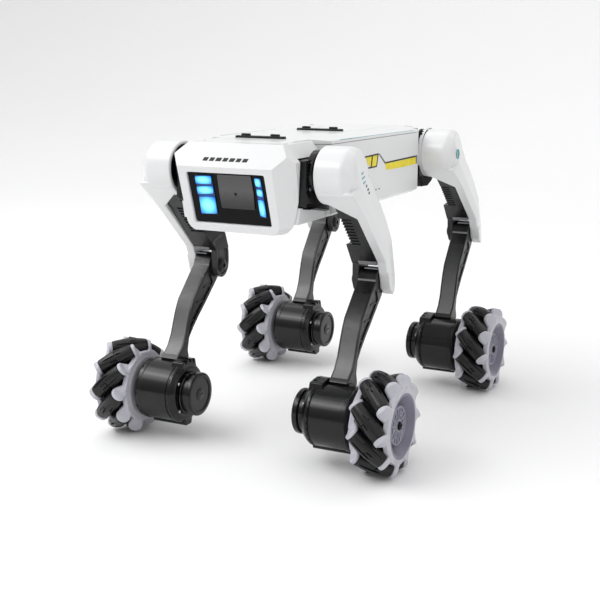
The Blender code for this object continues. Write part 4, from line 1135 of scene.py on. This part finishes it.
# ------------------------------------------------------------------ head
T = math.radians(17.4)
UP = Vector((0, -math.sin(T), math.cos(T)))
OUT = Vector((0, -math.cos(T), -math.sin(T)))
FACE = Matrix(((1, 0, 0, 0), (0, -OUT.y, UP.y, -117.0), (0, -OUT.z, UP.z, 146.5), (0, 0, 0, 1)))
# face frame: x across, z up the face, y back into the head (so -y stands proud)


def on_face(outline, front, back):
    """A prism cut from an outline (x, z) drawn on the face, between two depths behind it."""
    o = prism(outline, front, back, "XZ")
    o.data.transform(FACE)
    return o


def face_ring(half, bottom, radius, depth):
    """Points round the head in the face's plane, this far behind it, with round lower corners."""
    pts = [(-half, 66.0), (half, 66.0)]
    for side, start in ((1, 0), (-1, -90)):
        for k in range(11):
            a = math.radians(start - 9 * k)
            pts.append((side * (half - radius) + radius * math.cos(a), bottom + radius + radius * math.sin(a)))
    return [FACE @ Vector((x, depth, h)) for x, h in pts]


def build_head():
    head = prism([(-103.9, 146.2), (-117.0, 146.5), (-129.3, 187.4), (-114.6, 200.9), (-103.9, 200.9)], -42.2, 42.2)
    meet(head, prism(both([(42.2, -140), (42.2, -110.1), (30.2, -110.1), (30.2, -102.9)]), 140, 210, "XY"))
    meet(head, prism([(-37.6, 146.0), (37.6, 146.0), (40.3, 149), (42.2, 190.5), (33.0, 200.95), (-33.0, 200.95),
                      (-42.2, 190.5), (-40.3, 149)], -140, -95, "XZ"))
    # the sides flare back from the face's edge, parallel to its lean
    meet(head, hull(face_ring(31.8, -0.1, 7.0, -1.0) + face_ring(42.2, -4.9, 10.0, 14.2) + face_ring(42.2, -4.9, 10.0, 45.0)))
    clean(head)
    bevel(head, 1.7, 4, 12)
    opening = rounded([(-26.9, 5.0), (26.9, 5.0), (26.9, 38.7), (-26.9, 38.7)], 1.5, 5)
    cut(head, on_face(opening, -6, 9))
    # a small lead-in chamfer round the opening
    lo = [(x, -0.45, z) for x, z in opening]
    hi = [(x * (1 + 0.6 / 26.9), -1.4 + 0.0, (z - 21.85) * (1 + 0.6 / 16.8) + 21.85) for x, z in opening]
    cut(head, block(-28.0, 28.0, -113.5, -100, 150.0, 196.5))
    lead = hull([(x, 0.9, z) for x, _, z in lo] + [(26.9 + 0.0, 0.9, 21)] +
                [(x * (1 + 0.75 / 26.9), -0.3, (z - 21.85) * (1 + 0.75 / 16.8) + 21.85) for x, z in opening])
    lead.data.transform(FACE)
    cut(head, lead)
    for s in (1, -1):                                     # small vents under the chin
        for k in range(3):
            cut(head, block(s * 12 - 4, s * 12 + 4, -112.5 + 2.4 * k, -111.4 + 2.4 * k, 140, 147.2))
    return head


def build_screen():
    s = on_face(rounded([(-26.6, 5.3), (26.6, 5.3), (26.6, 38.4), (-26.6, 38.4)], 1.3, 5), 1.6, 4.2)
    return bevel(s, 0.3, 2)


def build_window():
    pts = [(-6.0, 15.8), (17.0, 15.8), (17.9, 26), (17.9, 37.9), (-5.3, 37.9), (-5.9, 26)]
    w = on_face(rounded(pts, 0.7, 3), 0.75, 1.3)
    cut(w, disc(FACE @ Vector((5.5, 0.8, 25.6)), OUT, 1.0, 0.7, 24))
    return w


EYES = {
    "right": [[(-21.2, 36.0), (-9.8, 36.7), (-10.5, 31.4), (-21.4, 31.2)],
              [(-21.3, 29.2), (-9.7, 30.0), (-10.3, 25.2), (-21.4, 24.3)],
              [(-20.9, 22.4), (-9.7, 22.8), (-10.2, 11.8), (-21.4, 11.2)]],
    "left": [[(20.1, 36.7), (23.7, 36.2), (24.1, 31.0), (20.4, 31.7)],
             [(20.5, 29.8), (24.2, 29.2), (24.3, 24.7), (20.4, 25.6)],
             [(20.2, 22.8), (24.3, 22.3), (24.1, 11.3), (20.3, 12.6)]],
}
HALO = {"right": [(-21.4, 36.8), (-9.6, 36.8), (-9.6, 11.0), (-21.4, 11.0)],
        "left": [(20.0, 36.8), (24.4, 36.8), (24.4, 11.0), (20.0, 11.0)]}


# ------------------------------------------------------------------ flank decoration
def flank_x(y):
    return BODY_W + (y + 69.0) * (HIP_W - BODY_W) / 141.4


def decal(polys, depth=0.16, thick=0.3):
    """Thin film pieces laid on the trunk's flank, each outline given as (y, z)."""
    bm = bmesh.new()
    for pts in polys:
        area = sum(a[0] * b[1] - b[0] * a[1] for a, b in zip(pts, pts[1:] + pts[:1]))
        pts = pts if area > 0 else list(reversed(pts))
        top = [bm.verts.new((flank_x(y) + depth, y, z)) for y, z in pts]
        low = [bm.verts.new((flank_x(y) + depth - thick, y, z)) for y, z in pts]
        bm.faces.new(top)
        bm.faces.new(list(reversed(low)))
        for i in range(len(pts)):
            j = (i + 1) % len(pts)
            bm.faces.new((top[i], low[i], low[j], top[j]))
    return from_bm(bm)


MARKS = {
    "ink": [[(-21.7, 187.4), (1.1, 188.0), (1.1, 186.9), (-21.2, 186.4)],
            [(-9.6, 186.8), (-7.6, 186.8), (-9.4, 179.4), (-11.0, 179.5)],
            [(11.8, 181.0), (66.6, 181.6), (66.9, 180.5), (12.3, 180.0)],
            [(-0.3, 187.3), (1.3, 187.3), (-0.9, 179.2), (-2.3, 179.1)],
            [(-15.1, 179.7), (-0.9, 179.9), (-1.2, 178.8), (-14.1, 178.6)],
            [(-2.4, 163.9), (-1.2, 163.9), (-1.2, 162.9), (-2.4, 162.9)],
            [(2.6, 163.9), (3.8, 163.9), (3.8, 162.9), (2.6, 162.9)]],
    "yellow": [[(-18.3, 186.4), (-9.8, 186.7), (-11.1, 179.8), (-15.9, 182.0)],
               [(-7.6, 186.8), (-0.5, 187.0), (-2.3, 179.6), (-9.2, 179.5)],
               [(12.3, 180.0), (38.3, 180.0), (66.9, 180.5), (67.2, 175.5), (38.6, 175.0), (14.8, 175.5)]],
    "grey_ink": [[(1.1, 188.0), (3.2, 187.6), (14.8, 179.8), (11.8, 180.0)],
                 [(66.9, 181.5), (69.8, 181.8), (69.4, 175.8), (67.2, 175.5)]],
}


def deck_lines():
    """Fine coloured lines laid along both shoulders of the deck."""
    bits = []
    for s in (1, -1):
        a, b = Vector((s * 44.0, -57.0, 200.86)), Vector((s * 48.0, 66.0, 200.2))
        bits.append(hull([p + Vector((dx, 0, dz)) for p in (a, b) for dx in (-0.14, 0.14) for dz in (-0.25, 0.1)]))
    return join(*bits)


place(build_trunk(), "trunk_shell", "body", "white", nodes=["body_lower_shell"], sharp=30)
place(build_lid(), "trunk_lid", "body", "white", nodes=["body_top_cover"], sharp=30)
place(build_strip(-82.0), "grip_strip_front", "body", "black", nodes=["deck_strip_front"])
place(build_strip(5.0), "grip_strip_rear", "body", "black", nodes=["deck_strip_rear"])
place(build_door(), "battery_door_visual", "body", "white", nodes=["battery_door"])
place(screw((0, -17.0, BELLY_Z + 0.75), (0, 0, -1), 2.0, 0.7), "door_screw", "body", "steel")
place(join(*[screw((x, y, BELLY_Z + 1.15), (0, 0, -1), 1.9, 0.9) for x, y in
             ((28, -62), (-28, -62), (32, 0), (-32, 0), (28, 74), (-28, 74))]), "belly_screws", "body", "steel")
place(build_button(), "tail_button", "power_button", "black", nodes=["power_button"])
place(build_socket(), "tail_socket", "body", "black", nodes=["charging_socket"])
place(build_head(), "head_visual", "body", "white", nodes=["head_shell"], sharp=30)
place(build_screen(), "face_glass", "body", "screen", nodes=["face_screen"])
place(build_window(), "face_window", "body", "window", nodes=["camera_window"])
place(disc(FACE @ Vector((5.5, 1.25, 25.6)), OUT, 0.95, 0.5, 24), "face_lens", "body", "screen")
for side, polys in EYES.items():
    place(on_face(rounded(HALO[side], 0.9, 3), 1.05, 1.3), side + "_eye_halo", "body", "halo",
          nodes=[side + "_eye_lights"], weighted=False)
    for k, pts in enumerate(polys):
        e = on_face(rounded(pts, 0.7, 3), 0.45, 1.15)
        place(bevel(e, 0.2, 2), f"{side}_eye_block_{k + 1}", "body", "eye")
for key, polys in MARKS.items():
    m = decal(polys)
    place(m, "stripe_left_" + key, "body", key, weighted=False)
    place(m, "stripe_right_" + key, "body", key, MIRROR, weighted=False)
place(deck_lines(), "deck_lines", "body", "teal", weighted=False)
# short plain dashes on the slope above the screen
slope_dir = Vector((0, 14.7, 13.5)).normalized()
slope_n = Vector((0, -0.676, 0.736)).normalized()
dashes = []
for i, (a, b) in enumerate(((-16.5, -13.3), (-12.0, -8.9), (-7.6, -4.0), (-2.7, 0.5), (1.8, 5.2), (6.5, 9.6), (10.9, 14.2))):
    base = Vector((0, -129.3, 187.4))
    quad = []
    for x, t in ((a, 4.9), (b, 4.9), (b + 0.4, 7.7), (a + 0.4, 7.7)):
        for d in (-0.2, 0.12):
            quad.append(base + slope_dir * t + slope_n * d + Vector((x, 0, 0)))
    dashes.append(hull(quad))
place(join(*dashes), "head_dashes", "body", "ink", weighted=False)

# ------------------------------------------------------------------ leave only the finished pieces
for o in list(WORK.objects):
    bpy.data.objects.remove(o, do_unlink=True)
bpy.data.collections.remove(WORK)
for block_ in (bpy.data.meshes, bpy.data.curves):
    for d in list(block_):
        if d.users == 0:
            block_.remove(d)

# ------------------------------------------------------------------ floor, light and camera
floor_bm = bmesh.new()
rise = [(-16.0, 0.0), (-3.0, 0.0), (-1.5, 0.0), (0.0, 0.0), (1.2, 0.0), (2.2, 0.0)]
rise += [(2.2 + 1.2 * math.sin(math.radians(6 * k)), 1.2 - 1.2 * math.cos(math.radians(6 * k))) for k in range(1, 16)]
rise += [(3.4, 2.0), (3.4, 3.2)]
floor_rows = [[floor_bm.verts.new((x, y, z)) for x in (-16.0, -4.0, 0.0, 4.0, 16.0)] for y, z in rise]
for ra, rb in zip(floor_rows, floor_rows[1:]):
    for i in range(4):
        floor_bm.faces.new((ra[i], ra[i + 1], rb[i + 1], rb[i]))
bmesh.ops.recalc_face_normals(floor_bm, faces=floor_bm.faces)
floor_me = bpy.data.meshes.new("floor")
floor_bm.to_mesh(floor_me)
floor_bm.free()
floor_me.shade_smooth()
floor = bpy.data.objects.new("floor", floor_me)
SCENE.collection.objects.link(floor)
floor_me.materials.append(surface("floor_paper", (0.9, 0.9, 0.9), 0.6, 0.03, 0.004, 3.0, 900.0, 0.00002, 0.05, spec=0.2))

world = SCENE.world or bpy.data.worlds.new("world")
SCENE.world = world
world.use_nodes = True
wt = world.node_tree
bg = wt.nodes["Background"]
bg.inputs["Strength"].default_value = 1.0
w_co = wt.nodes.new("ShaderNodeTexCoord")
w_sep = wt.nodes.new("ShaderNodeSeparateXYZ")
w_ramp = wt.nodes.new("ShaderNodeValToRGB")
wt.links.new(w_co.outputs["Generated"], w_sep.inputs[0])
wt.links.new(w_sep.outputs["Z"], w_ramp.inputs["Fac"])
w_path = wt.nodes.new("ShaderNodeLightPath")
w_mix = wt.nodes.new("ShaderNodeMix")
w_mix.data_type = "RGBA"
wt.links.new(w_path.outputs["Is Camera Ray"], w_mix.inputs["Factor"])
wt.links.new(w_ramp.outputs["Color"], w_mix.inputs[6])
w_mix.inputs[7].default_value = (0.86, 0.86, 0.87, 1.0)
wt.links.new(w_mix.outputs[2], bg.inputs["Color"])
for k, (pos, val) in enumerate(((0.0, 0.38), (0.18, 0.42), (0.5, 0.74), (1.0, 0.9))):   # a bright ceiling over darker walls
    e = w_ramp.color_ramp.elements[k] if k < 2 else w_ramp.color_ramp.elements.new(pos)
    e.position = pos
    e.color = (val, val, val, 1.0)
SCENE.view_settings.view_transform = "Standard"


def lamp(name, kind, loc, aim, power, size=0.5, size_y=None, angle=60):
    d = bpy.data.lights.new(name, kind)
    d.energy = power
    if kind == "AREA":
        d.shape = "RECTANGLE"
        d.size = size
        d.size_y = size_y or size
    else:
        d.angle = math.radians(angle)
    o = bpy.data.objects.new(name, d)
    SCENE.collection.objects.link(o)
    o.location = loc
    o.rotation_euler = (Vector(aim) - Vector(loc)).to_track_quat("-Z", "Y").to_euler()


lamp("dome", "SUN", (-0.26, -0.3, 1.0), (0.0, 0.0, 0.0), 0.35, angle=70)
lamp("top_strip", "AREA", (-0.64, -0.42, 0.86), (0.0, 0.0, 0.06), 4.3, 1.2, 0.46)
lamp("key_strip", "AREA", (-0.60, -0.45, 0.84), (0.0, 0.0, 0.05), 1.7, 1.2, 0.12)
lamp("back_wash", "AREA", (0.2, 1.9, 3.3), (0.1, 3.2, 0.6), 26.0, 4.5, 1.6)
lamp("left_box", "AREA", (0.95, -0.45, 0.42), (0.0, -0.02, 0.1), 0.9, 0.5, 0.8)

cam = bpy.data.cameras.new("camera")
cam_o = bpy.data.objects.new("camera", cam)
SCENE.collection.objects.link(cam_o)
cam_o.location = (0.3273, -0.6803 + CY * 0.001, 0.2490)
target = Vector((-0.0131, CY * 0.001, 0.0792))
cam_o.rotation_euler = (target - cam_o.location).to_track_quat("-Z", "Y").to_euler()
cam.sensor_width = 36
cam.lens = 1066 / 600 * 36
cam.clip_start = 0.01
cam.dof.use_dof = False
SCENE.camera = cam_o

bpy.context.view_layer.update()
